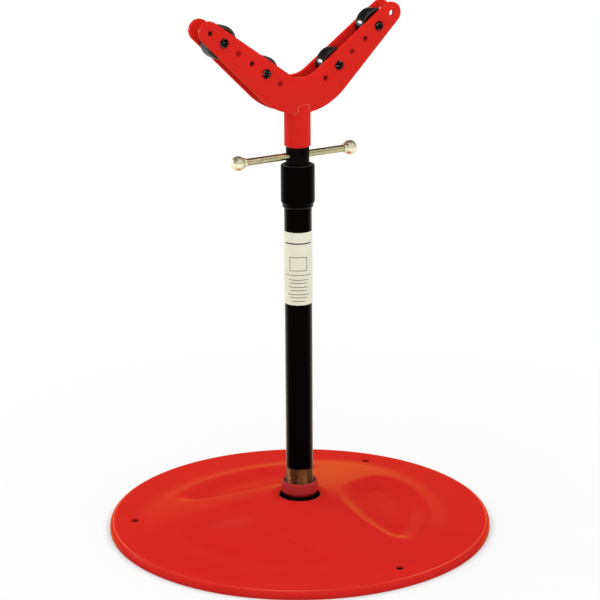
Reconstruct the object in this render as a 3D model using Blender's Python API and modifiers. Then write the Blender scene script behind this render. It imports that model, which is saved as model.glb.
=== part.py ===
"""Pipe jack stand: a round pressed base, a pipe column, a screw jack with a sliding
T-handle, and a swivelling V head whose four rollers carry a pipe.

Frame: metres, +Z up, origin at the centre of the base on the floor. X runs along
the plates of the V head and Y along the roller bolts.
"""

import math

import bmesh
import bpy
from mathutils import Matrix

MM = 0.001

# Clearances and shared small sizes
SEAT_GAP = 0.3 * MM
THREAD_PLAY = 0.35 * MM
BOLT_PLAY = 0.38 * MM
CUT_OVERRUN = 5.0 * MM
MERGE_DISTANCE = 0.01 * MM

# Pressed base: a disc of sheet steel with a turned down rim
BASE_RADIUS = 298.3 * MM
SHEET_THICKNESS = 3.0 * MM
RIM_HEIGHT = 12.7 * MM
RIM_CORNER_RADIUS = 7.0 * MM
RIM_FLAT_WIDTH = 63.3 * MM
CROWN_HEIGHT = 48.0 * MM
CROWN_WIDTH = 20.0 * MM
ANCHOR_EDGE_DISTANCE = 38.6 * MM
ANCHOR_HOLE_RADIUS = 6.3 * MM
BASE_TURN = math.radians(32.8)
SECTORS = 3

# Recessed pans pressed between the three spokes
PAN_EDGE_DISTANCE = 95.3 * MM
PAN_APEX_OFFSET = 3.0 * MM
PAN_SIDE_ANGLE = math.radians(53.6)
PAN_SIDE_WALL = 22.0 * MM
PAN_OUTER_WALL = 42.0 * MM
PAN_FLOOR_HEIGHT = 8.0 * MM
PAN_FLOOR_LENGTH = 116.0 * MM

# Threaded coupling that stands in the crown, its doubler and its weld
HUB_RADIUS = 28.6 * MM
HUB_LENGTH = 67.0 * MM
HUB_PROUD = 24.0 * MM
HUB_CHAMFER = 3.5 * MM
HUB_HOLE_GAP = 3.9 * MM
HUB_MOUTH_GAP = 1.6 * MM
HUB_MOUTH_DEPTH = 4.0 * MM
HUB_LOWER_WALL = 9.6 * MM
DOUBLER_WIDTH = 21.0 * MM
DOUBLER_THICKNESS = 6.0 * MM
WELD_LEG = 4.0 * MM

# Column, a steel pipe screwed into the coupling
COLUMN_RADIUS = 21.1 * MM
COLUMN_BORE_RADIUS = 17.5 * MM
COLUMN_LENGTH = 489.0 * MM
THREAD_ENGAGED = 26.0 * MM
LABEL_COLLAR_GAP = 42.0 * MM
LABEL_HEIGHT = 114.0 * MM
LABEL_THICKNESS = 0.3 * MM
LABEL_SWEEP = math.radians(172.0)
LABEL_TURN = math.radians(238.0)

# Jack collar and the nut held in its top
COLLAR_WALL = 4.45 * MM
COLLAR_LENGTH = 63.0 * MM
COLLAR_OVERLAP = 19.0 * MM
COLLAR_TOP_CHAMFER = 2.2 * MM
COLLAR_FOOT_CHAMFER = 4.0 * MM
NUT_RECESS = 0.8 * MM
NUT_CHAMFER = 1.2 * MM

# Jack screw: threaded shank, round head with a cross hole, and a spigot
SCREW_RADIUS = 15.875 * MM
SCREW_LEAD = 6.35 * MM
THREAD_DEPTH = 2.4 * MM
SCREW_TRAVEL = 355.6 * MM
SCREW_HEAD_RADIUS = 17.7 * MM
SCREW_HEAD_LENGTH = 26.2 * MM
SCREW_HEAD_CHAMFER = 1.0 * MM
SPIGOT_RADIUS = 11.0 * MM
SPIGOT_END = 3.0 * MM
STOP_THICKNESS = 4.0 * MM
STOP_RADIUS = 17.0 * MM
STOP_BOLT_RADIUS = 4.0 * MM
STOP_BOLT_DEPTH = 18.0 * MM
STOP_BOLT_HEAD_RADIUS = 6.5 * MM
STOP_BOLT_HEAD_HEIGHT = 6.0 * MM
RING_THICKNESS = 1.5 * MM
RING_WIDTH = 3.0 * MM
RING_GROOVE_DEPTH = 0.8 * MM
RING_SPLIT = 4.0 * MM
WASHER_THICKNESS = 1.2 * MM

# Sliding T-handle with a ball at each end
BAR_RADIUS = 5.3 * MM
BAR_HALF_SPAN = 98.7 * MM
BAR_SHIFT = -5.0 * MM
BAR_RISE = 14.2 * MM
BALL_RADIUS = 11.0 * MM
BALL_BORE_DEPTH = 6.0 * MM
BALL_NECK_RADIUS = 7.0 * MM
BALL_NECK_LENGTH = 4.0 * MM

# Socket tube of the head, slotted for the two plates
SOCKET_RADIUS = 20.0 * MM
SOCKET_LENGTH = 65.0 * MM
SOCKET_CHAMFER = 2.5 * MM
SOCKET_POCKET_DEPTH = 27.5 * MM
SLOT_DEPTH = 12.8 * MM

# V plates
PLATE_THICKNESS = 6.0 * MM
PLATE_GAP = 22.8 * MM
BELLY_RADIUS = 105.0 * MM
VALLEY_RADIUS = 42.0 * MM
WEB_HEIGHT = 54.2 * MM
ARM_REACH = 158.3 * MM
ARM_RISE = 136.2 * MM
TIP_RADIUS = 16.4 * MM
HOLE_PITCH = 29.45 * MM
HOLE_LINE_SLOPE = math.radians(36.4)
HOLES_PER_ARM = 6
ROLLER_STATIONS = {"outer": 1, "inner": 4}

# Rollers, their sleeves and their bolts
ROLLER_RADIUS = 25.4 * MM
ROLLER_SIDE_PLAY = 0.9 * MM
ROLLER_CHAMFER = 1.6 * MM
SLEEVE_WALL = 2.0 * MM
BOLT_RADIUS = 3.97 * MM
BOLT_HEAD_RADIUS = 7.0 * MM
BOLT_HEAD_HEIGHT = 4.2 * MM
BOLT_END_PROUD = 2.0 * MM
HEX_SOCKET_RADIUS = 2.8 * MM
HEX_SOCKET_DEPTH = 2.5 * MM
NUT_CORNER_RADIUS = 7.3 * MM
NUT_HEIGHT = 6.7 * MM
FLAT_WASHER_RADIUS = 8.7 * MM
FLAT_WASHER_THICKNESS = 1.6 * MM

# Facets around the round pieces
BASE_STEPS = 60
WIDE_STEPS = 28
SCREW_STEPS = 24
THREAD_STEPS = 10
ROLLER_STEPS = 24
BALL_STEPS = 16
SMALL_STEPS = 12
SLOPE_STEPS = 8
CORNER_STEPS = 3
BELLY_STEPS = 6
TIP_STEPS = 10
VALLEY_STEPS = 6
BALL_ARC_STEPS = 7
DOME_STEPS = 3
SMOOTH_ANGLE = math.radians(32.0)

# Heights worked out from the sizes above
CROWN_RADIUS = HUB_RADIUS + HUB_HOLE_GAP + CROWN_WIDTH
HUB_HOLE_RADIUS = HUB_RADIUS + HUB_HOLE_GAP
SLOPE_END_RADIUS = BASE_RADIUS - RIM_FLAT_WIDTH
PAN_OUTER_RADIUS = BASE_RADIUS - PAN_EDGE_DISTANCE
PAN_APEX_RADIUS = CROWN_RADIUS + PAN_APEX_OFFSET
ANCHOR_CIRCLE_RADIUS = BASE_RADIUS - ANCHOR_EDGE_DISTANCE
HUB_TOP = CROWN_HEIGHT + HUB_PROUD
COLUMN_BOTTOM = HUB_TOP - THREAD_ENGAGED
COLUMN_TOP = COLUMN_BOTTOM + COLUMN_LENGTH
COLLAR_BOTTOM = COLUMN_TOP - COLLAR_OVERLAP
COLLAR_TOP = COLLAR_BOTTOM + COLLAR_LENGTH
COLLAR_BORE_RADIUS = COLUMN_RADIUS + SEAT_GAP
SCREW_HEAD_BOTTOM = COLLAR_TOP + SEAT_GAP
SCREW_HEAD_TOP = SCREW_HEAD_BOTTOM + SCREW_HEAD_LENGTH
SCREW_BOTTOM = COLUMN_TOP - SCREW_TRAVEL - SEAT_GAP
HANDLE_HEIGHT = SCREW_HEAD_BOTTOM + BAR_RISE
SOCKET_BOTTOM = SCREW_HEAD_TOP + WASHER_THICKNESS + 2 * SEAT_GAP
SOCKET_TOP = SOCKET_BOTTOM + SOCKET_LENGTH
SOCKET_BORE_RADIUS = SPIGOT_RADIUS + SEAT_GAP
POCKET_FLOOR = SOCKET_TOP - SOCKET_POCKET_DEPTH
POCKET_RADIUS = SPIGOT_RADIUS - RING_GROOVE_DEPTH + RING_WIDTH + 2 * SEAT_GAP
RING_BOTTOM = POCKET_FLOOR + SEAT_GAP
SPIGOT_TOP = RING_BOTTOM + RING_THICKNESS + SPIGOT_END
PLATE_BOTTOM = SOCKET_TOP - SLOT_DEPTH + SEAT_GAP
ROLLER_HALF_WIDTH = PLATE_GAP / 2 - ROLLER_SIDE_PLAY
HOLE_RADIUS = BOLT_RADIUS + BOLT_PLAY
SLEEVE_RADIUS = HOLE_RADIUS + SLEEVE_WALL
PLATE_OFFSET = PLATE_GAP / 2 + PLATE_THICKNESS / 2
STACK_HALF = PLATE_GAP / 2 + PLATE_THICKNESS + SEAT_GAP

# Colours as base colour, roughness and metallic
FINISHES = {
    "red_paint": ((0.66, 0.025, 0.018), 0.3, 0.0),
    "black_paint": ((0.012, 0.011, 0.011), 0.35, 0.0),
    "black_oxide": ((0.03, 0.028, 0.027), 0.4, 0.8),
    "yellow_zinc": ((0.78, 0.74, 0.45), 0.25, 1.0),
    "bare_steel": ((0.45, 0.42, 0.38), 0.4, 1.0),
    "bronze": ((0.55, 0.36, 0.16), 0.4, 1.0),
    "label_film": ((0.86, 0.84, 0.76), 0.5, 0.0),
}


def clear_scene():
    """Remove every object of the scene."""
    for item in list(bpy.data.objects):
        bpy.data.objects.remove(item, do_unlink=True)


def make_collection(name):
    """Return a new collection linked to the scene."""
    collection = bpy.data.collections.new(name)
    bpy.context.scene.collection.children.link(collection)
    return collection


def paint(item, finish):
    """Give an object its own material in the named finish."""
    colour, roughness, metallic = FINISHES[finish]
    material = bpy.data.materials.new(f"{item.name}_{finish}")
    material.use_nodes = True
    shader = material.node_tree.nodes["Principled BSDF"]
    shader.inputs["Base Color"].default_value = (*colour, 1.0)
    shader.inputs["Roughness"].default_value = roughness
    shader.inputs["Metallic"].default_value = metallic
    item.data.materials.clear()
    item.data.materials.append(material)


def smooth(mesh):
    """Shade a mesh smooth, with its corners kept sharp."""
    mesh.shade_smooth()
    mesh.set_sharp_from_angle(angle=SMOOTH_ANGLE)


def place(item, collection, parent=None, location=(0, 0, 0), rotation=(0, 0, 0)):
    """Link an object and put it under its parent."""
    collection.objects.link(item)
    item.parent = parent
    item.location = location
    item.rotation_euler = rotation
    return item


def bake(item):
    """Replace an object's data by its evaluated and welded mesh."""
    bpy.context.view_layer.update()
    evaluated = item.evaluated_get(bpy.context.evaluated_depsgraph_get())
    mesh = bpy.data.meshes.new_from_object(evaluated)
    shape = bmesh.new()
    shape.from_mesh(mesh)
    bmesh.ops.remove_doubles(shape, verts=shape.verts, dist=MERGE_DISTANCE)
    shape.to_mesh(mesh)
    shape.free()
    return mesh


def turned_mesh(name, profile, steps, closed=True):
    """Turn a profile of (radius, height) points about Z with a Screw modifier."""
    mesh = bpy.data.meshes.new(name)
    edges = [(i, i + 1) for i in range(len(profile) - 1)]
    if closed:
        edges.append((len(profile) - 1, 0))
    mesh.from_pydata([(radius, 0, height) for radius, height in profile], edges, [])
    blank = bpy.data.objects.new(name, mesh)
    bpy.context.scene.collection.objects.link(blank)
    screw = blank.modifiers.new("turn", "SCREW")
    screw.steps = steps
    screw.render_steps = steps
    screw.use_merge_vertices = True
    screw.merge_threshold = MERGE_DISTANCE
    result = bake(blank)
    result.name = name
    bpy.data.objects.remove(blank, do_unlink=True)
    return result


def turned(name, profile, steps, finish, collection, closed=True, **where):
    """Make a turned piece."""
    mesh = turned_mesh(name, profile, steps, closed)
    smooth(mesh)
    item = place(bpy.data.objects.new(name, mesh), collection, **where)
    paint(item, finish)
    return item


def ring_profile(inner, outer, bottom, top, chamfer=0):
    """Section of a ring, chamfered on its outer edges."""
    points = [(outer - chamfer, top)]
    if chamfer:
        points += [(outer, top - chamfer), (outer, bottom + chamfer)]
    else:
        points = [(outer, top), (outer, bottom)]
    if chamfer:
        points.append((outer - chamfer, bottom))
    return points + [(inner, bottom), (inner, top)]


def arc(centre, radius, start, end, steps):
    """Points along an arc about a centre, both ends included."""
    return [
        (centre[0] + radius * math.cos(start + (end - start) * i / steps),
         centre[1] + radius * math.sin(start + (end - start) * i / steps))
        for i in range(steps + 1)
    ]


def circle(centre, radius, steps):
    """Points of a whole circle."""
    return arc(centre, radius, 0, math.tau * (steps - 1) / steps, steps - 1)


def flat_piece(name, loops, thickness, finish, collection, **where):
    """Cut a flat piece from loops of points: its outline, then its holes."""
    curve = bpy.data.curves.new(name, "CURVE")
    curve.dimensions = "2D"
    curve.fill_mode = "BOTH"
    curve.extrude = thickness / 2
    for loop in loops:
        spline = curve.splines.new("POLY")
        spline.points.add(len(loop) - 1)
        for point, (across, up) in zip(spline.points, loop):
            point.co = (across, up, 0, 1)
        spline.use_cyclic_u = True
    blank = bpy.data.objects.new(name, curve)
    bpy.context.scene.collection.objects.link(blank)
    mesh = bake(blank)
    mesh.name = name
    bpy.data.objects.remove(blank, do_unlink=True)
    item = place(bpy.data.objects.new(name, mesh), collection, **where)
    paint(item, finish)
    return item


def make_cutter(name, mesh, cutters, **where):
    """Keep a mesh as a hidden cutter."""
    cutter = place(bpy.data.objects.new(name, mesh), cutters, **where)
    cutter.hide_render = True
    cutter.display_type = "WIRE"
    return cutter


def rod_mesh(name, radius, length, steps, end_radius=None):
    """A plain cylinder or cone frustum about Z, centred on the origin."""
    mesh = bpy.data.meshes.new(name)
    shape = bmesh.new()
    bmesh.ops.create_cone(
        shape, cap_ends=True, segments=steps, radius1=radius,
        radius2=radius if end_radius is None else end_radius, depth=length)
    shape.to_mesh(mesh)
    shape.free()
    return mesh


def box_mesh(name, size):
    """A block centred on the origin."""
    mesh = bpy.data.meshes.new(name)
    shape = bmesh.new()
    bmesh.ops.create_cube(shape, size=1, matrix=Matrix.Diagonal((*size, 1)))
    shape.to_mesh(mesh)
    shape.free()
    return mesh


def combine(item, other, operation="DIFFERENCE"):
    """Cut an object with another, or join or trim it by it."""
    boolean = item.modifiers.new(other.name, "BOOLEAN")
    boolean.operation = operation
    boolean.object = other
    boolean.solver = "EXACT"


def make_axis(name, collection, parent=None, location=(0, 0, 0)):
    """An empty that stands on a joint's axis."""
    return place(bpy.data.objects.new(name, None), collection, parent, location)


def eased(share):
    """Smooth step from zero to one."""
    share = min(max(share, 0), 1)
    return share * share * (3 - 2 * share)


def blend(start, end, share):
    """Value a share of the way from start to end, held at both ends."""
    return start + (end - start) * min(max(share, 0), 1)


def base_height(across, along):
    """Height of the base's upper face over a point of the floor plan."""
    radius = math.hypot(across, along)
    spoke = blend(CROWN_HEIGHT, RIM_HEIGHT,
                  (radius - CROWN_RADIUS) / (SLOPE_END_RADIUS - CROWN_RADIUS))
    floor = blend(CROWN_HEIGHT, PAN_FLOOR_HEIGHT,
                  (radius - CROWN_RADIUS) / PAN_FLOOR_LENGTH)
    sector = math.tau / SECTORS
    turn = (math.atan2(along, across) - BASE_TURN) % sector - sector / 2
    forward = radius * math.cos(turn) - PAN_APEX_RADIUS
    sideways = abs(radius * math.sin(turn))
    side = forward * math.sin(PAN_SIDE_ANGLE) - sideways * math.cos(PAN_SIDE_ANGLE)
    depth_share = eased(side / PAN_SIDE_WALL)
    depth_share *= eased((PAN_OUTER_RADIUS - radius) / PAN_OUTER_WALL)
    return blend(spoke, floor, depth_share)


def make_base_plate(parts, cutters):
    """Pressed disc with three spokes, three pans and a turned down rim."""
    band = (PAN_OUTER_RADIUS - CROWN_RADIUS) / SLOPE_STEPS
    radii = [HUB_HOLE_RADIUS]
    radii += [CROWN_RADIUS + band * i for i in range(SLOPE_STEPS + 1)]
    radii += [SLOPE_END_RADIUS]
    profile = [(radius, RIM_HEIGHT) for radius in radii]
    corner = (BASE_RADIUS - RIM_CORNER_RADIUS, RIM_HEIGHT - RIM_CORNER_RADIUS)
    profile += arc(corner, RIM_CORNER_RADIUS, math.pi / 2, 0, CORNER_STEPS)
    profile.append((BASE_RADIUS, 0))
    mesh = turned_mesh("base_plate", profile, BASE_STEPS, closed=False)
    mesh.transform(Matrix.Rotation(BASE_TURN, 4, "Z"))
    for vertex in mesh.vertices:
        if math.hypot(vertex.co.x, vertex.co.y) < SLOPE_END_RADIUS - MERGE_DISTANCE:
            vertex.co.z = base_height(vertex.co.x, vertex.co.y)
    smooth(mesh)
    base = place(bpy.data.objects.new("base_plate", mesh), parts)
    sheet = base.modifiers.new("sheet", "SOLIDIFY")
    sheet.thickness = SHEET_THICKNESS
    sheet.offset = -1
    sheet.use_even_offset = True
    for index in range(SECTORS):
        turn = BASE_TURN + math.tau * index / SECTORS
        drill = make_cutter(
            f"anchor_drill_{index + 1}",
            rod_mesh("anchor_drill", ANCHOR_HOLE_RADIUS, RIM_HEIGHT + CUT_OVERRUN, SMALL_STEPS),
            cutters,
            location=(ANCHOR_CIRCLE_RADIUS * math.cos(turn),
                      ANCHOR_CIRCLE_RADIUS * math.sin(turn), RIM_HEIGHT))
        combine(base, drill)
    paint(base, "red_paint")
    return base


def make_hub(parts):
    """Coupling in the crown, with the doubler under the sheet and its weld."""
    bottom = HUB_TOP - HUB_LENGTH
    bore = COLUMN_RADIUS + SEAT_GAP
    lower_bore = HUB_RADIUS - HUB_LOWER_WALL
    seat = COLUMN_BOTTOM - SEAT_GAP
    turned("hub_coupling", [
        (HUB_RADIUS - HUB_CHAMFER, HUB_TOP), (HUB_RADIUS, HUB_TOP - HUB_CHAMFER),
        (HUB_RADIUS, bottom + HUB_CHAMFER), (HUB_RADIUS - HUB_CHAMFER, bottom),
        (lower_bore, bottom), (lower_bore, seat), (bore, seat),
        (bore, HUB_TOP - HUB_MOUTH_DEPTH),
        (bore + HUB_MOUTH_GAP, HUB_TOP - HUB_MOUTH_DEPTH), (bore + HUB_MOUTH_GAP, HUB_TOP),
    ], WIDE_STEPS, "red_paint", parts)
    top = CROWN_HEIGHT - SHEET_THICKNESS - SEAT_GAP
    inner = HUB_RADIUS + SEAT_GAP
    turned("hub_doubler",
           ring_profile(inner, inner + DOUBLER_WIDTH, top - DOUBLER_THICKNESS, top),
           WIDE_STEPS, "red_paint", parts)
    foot = top - DOUBLER_THICKNESS - SEAT_GAP
    turned("hub_weld", [(inner + WELD_LEG, foot), (inner, foot - WELD_LEG), (inner, foot)],
           WIDE_STEPS, "red_paint", parts)


def make_column(parts):
    """Steel pipe and the blank label wrapped round its front."""
    turned("column_pipe",
           ring_profile(COLUMN_BORE_RADIUS, COLUMN_RADIUS, COLUMN_BOTTOM, COLUMN_TOP),
           WIDE_STEPS, "black_paint", parts)
    radius = COLUMN_RADIUS + SEAT_GAP + LABEL_THICKNESS
    bottom = COLLAR_BOTTOM - LABEL_COLLAR_GAP - LABEL_HEIGHT
    mesh = bpy.data.meshes.new("column_label")
    mesh.from_pydata([(radius, 0, bottom + LABEL_HEIGHT), (radius, 0, bottom)], [(0, 1)], [])
    label = place(bpy.data.objects.new("column_label", mesh), parts,
                  rotation=(0, 0, LABEL_TURN - LABEL_SWEEP / 2))
    wrap = label.modifiers.new("wrap", "SCREW")
    wrap.angle = LABEL_SWEEP
    wrap.steps = SMALL_STEPS
    wrap.render_steps = SMALL_STEPS
    film = label.modifiers.new("film", "SOLIDIFY")
    film.thickness = LABEL_THICKNESS
    film.offset = -1
    film.use_even_offset = True
    paint(label, "label_film")


def make_collar(parts):
    """Sleeve welded over the top of the column, with the jack nut in it."""
    outer = COLLAR_BORE_RADIUS + COLLAR_WALL
    turned("jack_collar", [
        (outer - COLLAR_TOP_CHAMFER, COLLAR_TOP), (outer, COLLAR_TOP - COLLAR_TOP_CHAMFER),
        (outer, COLLAR_BOTTOM + COLLAR_FOOT_CHAMFER),
        (outer - COLLAR_FOOT_CHAMFER / 2, COLLAR_BOTTOM),
        (COLLAR_BORE_RADIUS, COLLAR_BOTTOM), (COLLAR_BORE_RADIUS, COLLAR_TOP),
    ], WIDE_STEPS, "black_paint", parts)
    foot = COLLAR_BOTTOM - SEAT_GAP
    turned("collar_weld", [
        (COLLAR_BORE_RADIUS + WELD_LEG / 2, foot), (COLLAR_BORE_RADIUS, foot - WELD_LEG / 2),
        (COLLAR_BORE_RADIUS, foot),
    ], WIDE_STEPS, "black_paint", parts)
    inner = SCREW_RADIUS + THREAD_PLAY
    top = COLLAR_TOP - NUT_RECESS
    turned("jack_nut", [
        (COLUMN_RADIUS, top), (COLUMN_RADIUS, COLUMN_TOP + SEAT_GAP),
        (inner, COLUMN_TOP + SEAT_GAP), (inner, top - NUT_CHAMFER),
        (inner + NUT_CHAMFER, top),
    ], WIDE_STEPS, "bronze", parts)


def thread_mesh():
    """Helical screw thread, longer than the shank at both ends and closed."""
    turns = math.ceil((SCREW_HEAD_BOTTOM - SCREW_BOTTOM) / SCREW_LEAD) + 2
    top = SCREW_HEAD_BOTTOM + SCREW_LEAD
    profile = []
    for index in range(turns):
        crest = top - SCREW_LEAD * index
        profile += [(SCREW_RADIUS, crest), (SCREW_RADIUS - THREAD_DEPTH, crest - SCREW_LEAD / 2)]
    profile.append((SCREW_RADIUS, top - SCREW_LEAD * turns))
    mesh = bpy.data.meshes.new("thread")
    edges = [(i, i + 1) for i in range(len(profile) - 1)]
    mesh.from_pydata([(radius, 0, height) for radius, height in profile], edges, [])
    blank = bpy.data.objects.new("thread", mesh)
    bpy.context.scene.collection.objects.link(blank)
    screw = blank.modifiers.new("thread", "SCREW")
    screw.screw_offset = -SCREW_LEAD
    screw.steps = THREAD_STEPS
    screw.render_steps = THREAD_STEPS
    result = bake(blank)
    bpy.data.objects.remove(blank, do_unlink=True)
    shape = bmesh.new()
    shape.from_mesh(result)
    open_edges = [edge for edge in shape.edges if edge.is_boundary]
    caps = bmesh.ops.holes_fill(shape, edges=open_edges)["faces"]
    bmesh.ops.triangulate(shape, faces=caps)
    bmesh.ops.recalc_face_normals(shape, faces=shape.faces)
    shape.to_mesh(result)
    shape.free()
    return result


def make_screw(parts, cutters, turn_axis):
    """Jack screw in one piece, with its stop washer, stop bolt and retaining ring."""
    groove = SPIGOT_RADIUS - RING_GROOVE_DEPTH
    groove_top = RING_BOTTOM + RING_THICKNESS + SEAT_GAP
    turned_head = [
        (0, SPIGOT_TOP), (SPIGOT_RADIUS - SCREW_HEAD_CHAMFER, SPIGOT_TOP),
        (SPIGOT_RADIUS, SPIGOT_TOP - SCREW_HEAD_CHAMFER), (SPIGOT_RADIUS, groove_top),
        (groove, groove_top), (groove, POCKET_FLOOR), (SPIGOT_RADIUS, POCKET_FLOOR),
        (SPIGOT_RADIUS, SCREW_HEAD_TOP), (SCREW_HEAD_RADIUS, SCREW_HEAD_TOP),
        (SCREW_HEAD_RADIUS, SCREW_HEAD_BOTTOM + SCREW_HEAD_CHAMFER),
        (SCREW_HEAD_RADIUS - SCREW_HEAD_CHAMFER, SCREW_HEAD_BOTTOM), (0, SCREW_HEAD_BOTTOM),
    ]
    screw = turned("jack_screw", turned_head, SCREW_STEPS, "black_oxide", parts,
                   closed=False, parent=turn_axis)
    thread = make_cutter("thread_blank", thread_mesh(), cutters)
    shank_length = SCREW_HEAD_BOTTOM + SCREW_HEAD_CHAMFER - SCREW_BOTTOM
    shank = make_cutter(
        "shank_limits",
        rod_mesh("shank_limits", SCREW_HEAD_RADIUS, shank_length, SMALL_STEPS),
        cutters, location=(0, 0, SCREW_BOTTOM + shank_length / 2))
    combine(thread, shank, "INTERSECT")
    combine(screw, thread, "UNION")
    cross = make_cutter(
        "cross_drill",
        rod_mesh("cross_drill", BAR_RADIUS + BOLT_PLAY, 2 * SCREW_HEAD_RADIUS + CUT_OVERRUN,
                 SMALL_STEPS),
        cutters, location=(0, 0, HANDLE_HEIGHT), rotation=(0, math.pi / 2, 0))
    combine(screw, cross)
    stop_drill = make_cutter(
        "stop_drill",
        rod_mesh("stop_drill", STOP_BOLT_RADIUS + SEAT_GAP,
                 2 * (STOP_BOLT_DEPTH + CUT_OVERRUN), SMALL_STEPS),
        cutters, location=(0, 0, SCREW_BOTTOM))
    combine(screw, stop_drill)
    make_retaining_ring(parts, cutters, turn_axis)
    make_stop(parts, turn_axis)


def make_retaining_ring(parts, cutters, turn_axis):
    """Split ring in the spigot's groove that keeps the head on."""
    inner = SPIGOT_RADIUS - RING_GROOVE_DEPTH + SEAT_GAP
    ring = turned("retaining_ring",
                  ring_profile(inner, inner + RING_WIDTH, RING_BOTTOM,
                               RING_BOTTOM + RING_THICKNESS),
                  SCREW_STEPS, "bare_steel", parts, parent=turn_axis)
    split = make_cutter(
        "ring_split", box_mesh("ring_split", (SPIGOT_RADIUS + RING_WIDTH, RING_SPLIT,
                                              RING_THICKNESS + CUT_OVERRUN)),
        cutters, location=((SPIGOT_RADIUS + RING_WIDTH) / 2 + MERGE_DISTANCE, 0,
                           RING_BOTTOM + RING_THICKNESS / 2))
    combine(ring, split)


def make_stop(parts, turn_axis):
    """Washer and bolt under the shank that stop it at the top of its travel."""
    top = SCREW_BOTTOM - SEAT_GAP
    hole = STOP_BOLT_RADIUS + SEAT_GAP
    turned("stop_washer", ring_profile(hole, STOP_RADIUS, top - STOP_THICKNESS, top),
           SCREW_STEPS, "bare_steel", parts, parent=turn_axis)
    seat = top - STOP_THICKNESS - SEAT_GAP
    turned("stop_bolt", [
        (0, SCREW_BOTTOM + STOP_BOLT_DEPTH), (STOP_BOLT_RADIUS, SCREW_BOTTOM + STOP_BOLT_DEPTH),
        (STOP_BOLT_RADIUS, seat), (STOP_BOLT_HEAD_RADIUS, seat),
        (STOP_BOLT_HEAD_RADIUS, seat - STOP_BOLT_HEAD_HEIGHT), (0, seat - STOP_BOLT_HEAD_HEIGHT),
    ], SMALL_STEPS, "black_oxide", parts, closed=False, parent=turn_axis)


def make_handle(parts, slide_axis):
    """Round bar through the screw head and its two end balls."""
    half_bar = BAR_HALF_SPAN - BALL_RADIUS + BALL_BORE_DEPTH - SEAT_GAP
    bar = place(
        bpy.data.objects.new("handle_bar", rod_mesh("handle_bar", BAR_RADIUS, 2 * half_bar,
                                                    SMALL_STEPS)),
        parts, slide_axis, rotation=(0, math.pi / 2, 0))
    smooth(bar.data)
    paint(bar, "yellow_zinc")
    bore = BAR_RADIUS + SEAT_GAP
    mouth = math.sqrt(BALL_RADIUS ** 2 - BALL_NECK_RADIUS ** 2)
    neck_end = mouth + BALL_NECK_LENGTH
    bore_end = BALL_RADIUS - BALL_BORE_DEPTH
    start = math.asin(mouth / BALL_RADIUS)
    ball = [(0, bore_end), (bore, bore_end), (bore, neck_end), (BALL_NECK_RADIUS, neck_end)]
    ball += [(radius, -height) for radius, height in
             arc((0, 0), BALL_RADIUS, -start, math.pi / 2, BALL_ARC_STEPS)]
    ball[-1] = (0, -BALL_RADIUS)
    for name, side in (("handle_ball_left", -1), ("handle_ball_right", 1)):
        turned(name, ball, BALL_STEPS, "yellow_zinc", parts, closed=False, parent=slide_axis,
               location=(side * BAR_HALF_SPAN, 0, 0), rotation=(0, -side * math.pi / 2, 0))


def make_socket(parts, cutters, swivel_axis):
    """Tube that turns on the screw's spigot, slotted for the plates."""
    socket = turned("socket_tube", [
        (SOCKET_RADIUS, SOCKET_TOP), (SOCKET_RADIUS, SOCKET_BOTTOM + SOCKET_CHAMFER),
        (SOCKET_RADIUS - SOCKET_CHAMFER, SOCKET_BOTTOM), (SOCKET_BORE_RADIUS, SOCKET_BOTTOM),
        (SOCKET_BORE_RADIUS, POCKET_FLOOR), (POCKET_RADIUS, POCKET_FLOOR),
        (POCKET_RADIUS, SOCKET_TOP),
    ], WIDE_STEPS, "red_paint", parts, parent=swivel_axis)
    slot_size = (2 * (SOCKET_RADIUS + CUT_OVERRUN), PLATE_THICKNESS + 2 * SEAT_GAP,
                 SLOT_DEPTH + CUT_OVERRUN)
    for name, side in (("front_slot", -1), ("rear_slot", 1)):
        slot = make_cutter(
            name, box_mesh(name, slot_size), cutters,
            location=(0, side * PLATE_OFFSET, SOCKET_TOP - SLOT_DEPTH + slot_size[2] / 2))
        combine(socket, slot)


def hole_place(side, station):
    """Place of an arm's hole, counted from the tip, in the plate's own plane."""
    run = HOLE_PITCH * station
    return (side * (ARM_REACH - run * math.cos(HOLE_LINE_SLOPE)),
            ARM_RISE - run * math.sin(HOLE_LINE_SLOPE))


def plate_outline():
    """Outline of a V plate: belly, tips and valley arcs joined by their tangents."""
    belly = (0, BELLY_RADIUS)
    valley = (0, WEB_HEIGHT + VALLEY_RADIUS)
    tip = (ARM_REACH, ARM_RISE)
    lower = math.atan2(tip[1] - belly[1], tip[0])
    lower += math.asin((BELLY_RADIUS - TIP_RADIUS) / math.dist(belly, tip))
    upper = math.atan2(tip[1] - valley[1], tip[0])
    upper += math.asin((VALLEY_RADIUS + TIP_RADIUS) / math.dist(valley, tip))
    down = -math.pi / 2
    half = arc(belly, BELLY_RADIUS, down, down + lower, BELLY_STEPS)
    half += arc(tip, TIP_RADIUS, down + lower, upper - down, TIP_STEPS)
    half += arc(valley, VALLEY_RADIUS, down + upper, down, VALLEY_STEPS)
    return half + [(-across, up) for across, up in reversed(half[1:-1])]


def make_plates(parts, swivel_axis):
    """The two V plates, each with a row of holes along both arms."""
    loops = [plate_outline()]
    loops += [circle(hole_place(side, station), HOLE_RADIUS, SMALL_STEPS)
              for side in (-1, 1) for station in range(HOLES_PER_ARM)]
    for name, side in (("front_plate", -1), ("rear_plate", 1)):
        flat_piece(name, loops, PLATE_THICKNESS, "red_paint", parts, parent=swivel_axis,
                   location=(0, side * PLATE_OFFSET, PLATE_BOTTOM),
                   rotation=(math.pi / 2, 0, 0))


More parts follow.
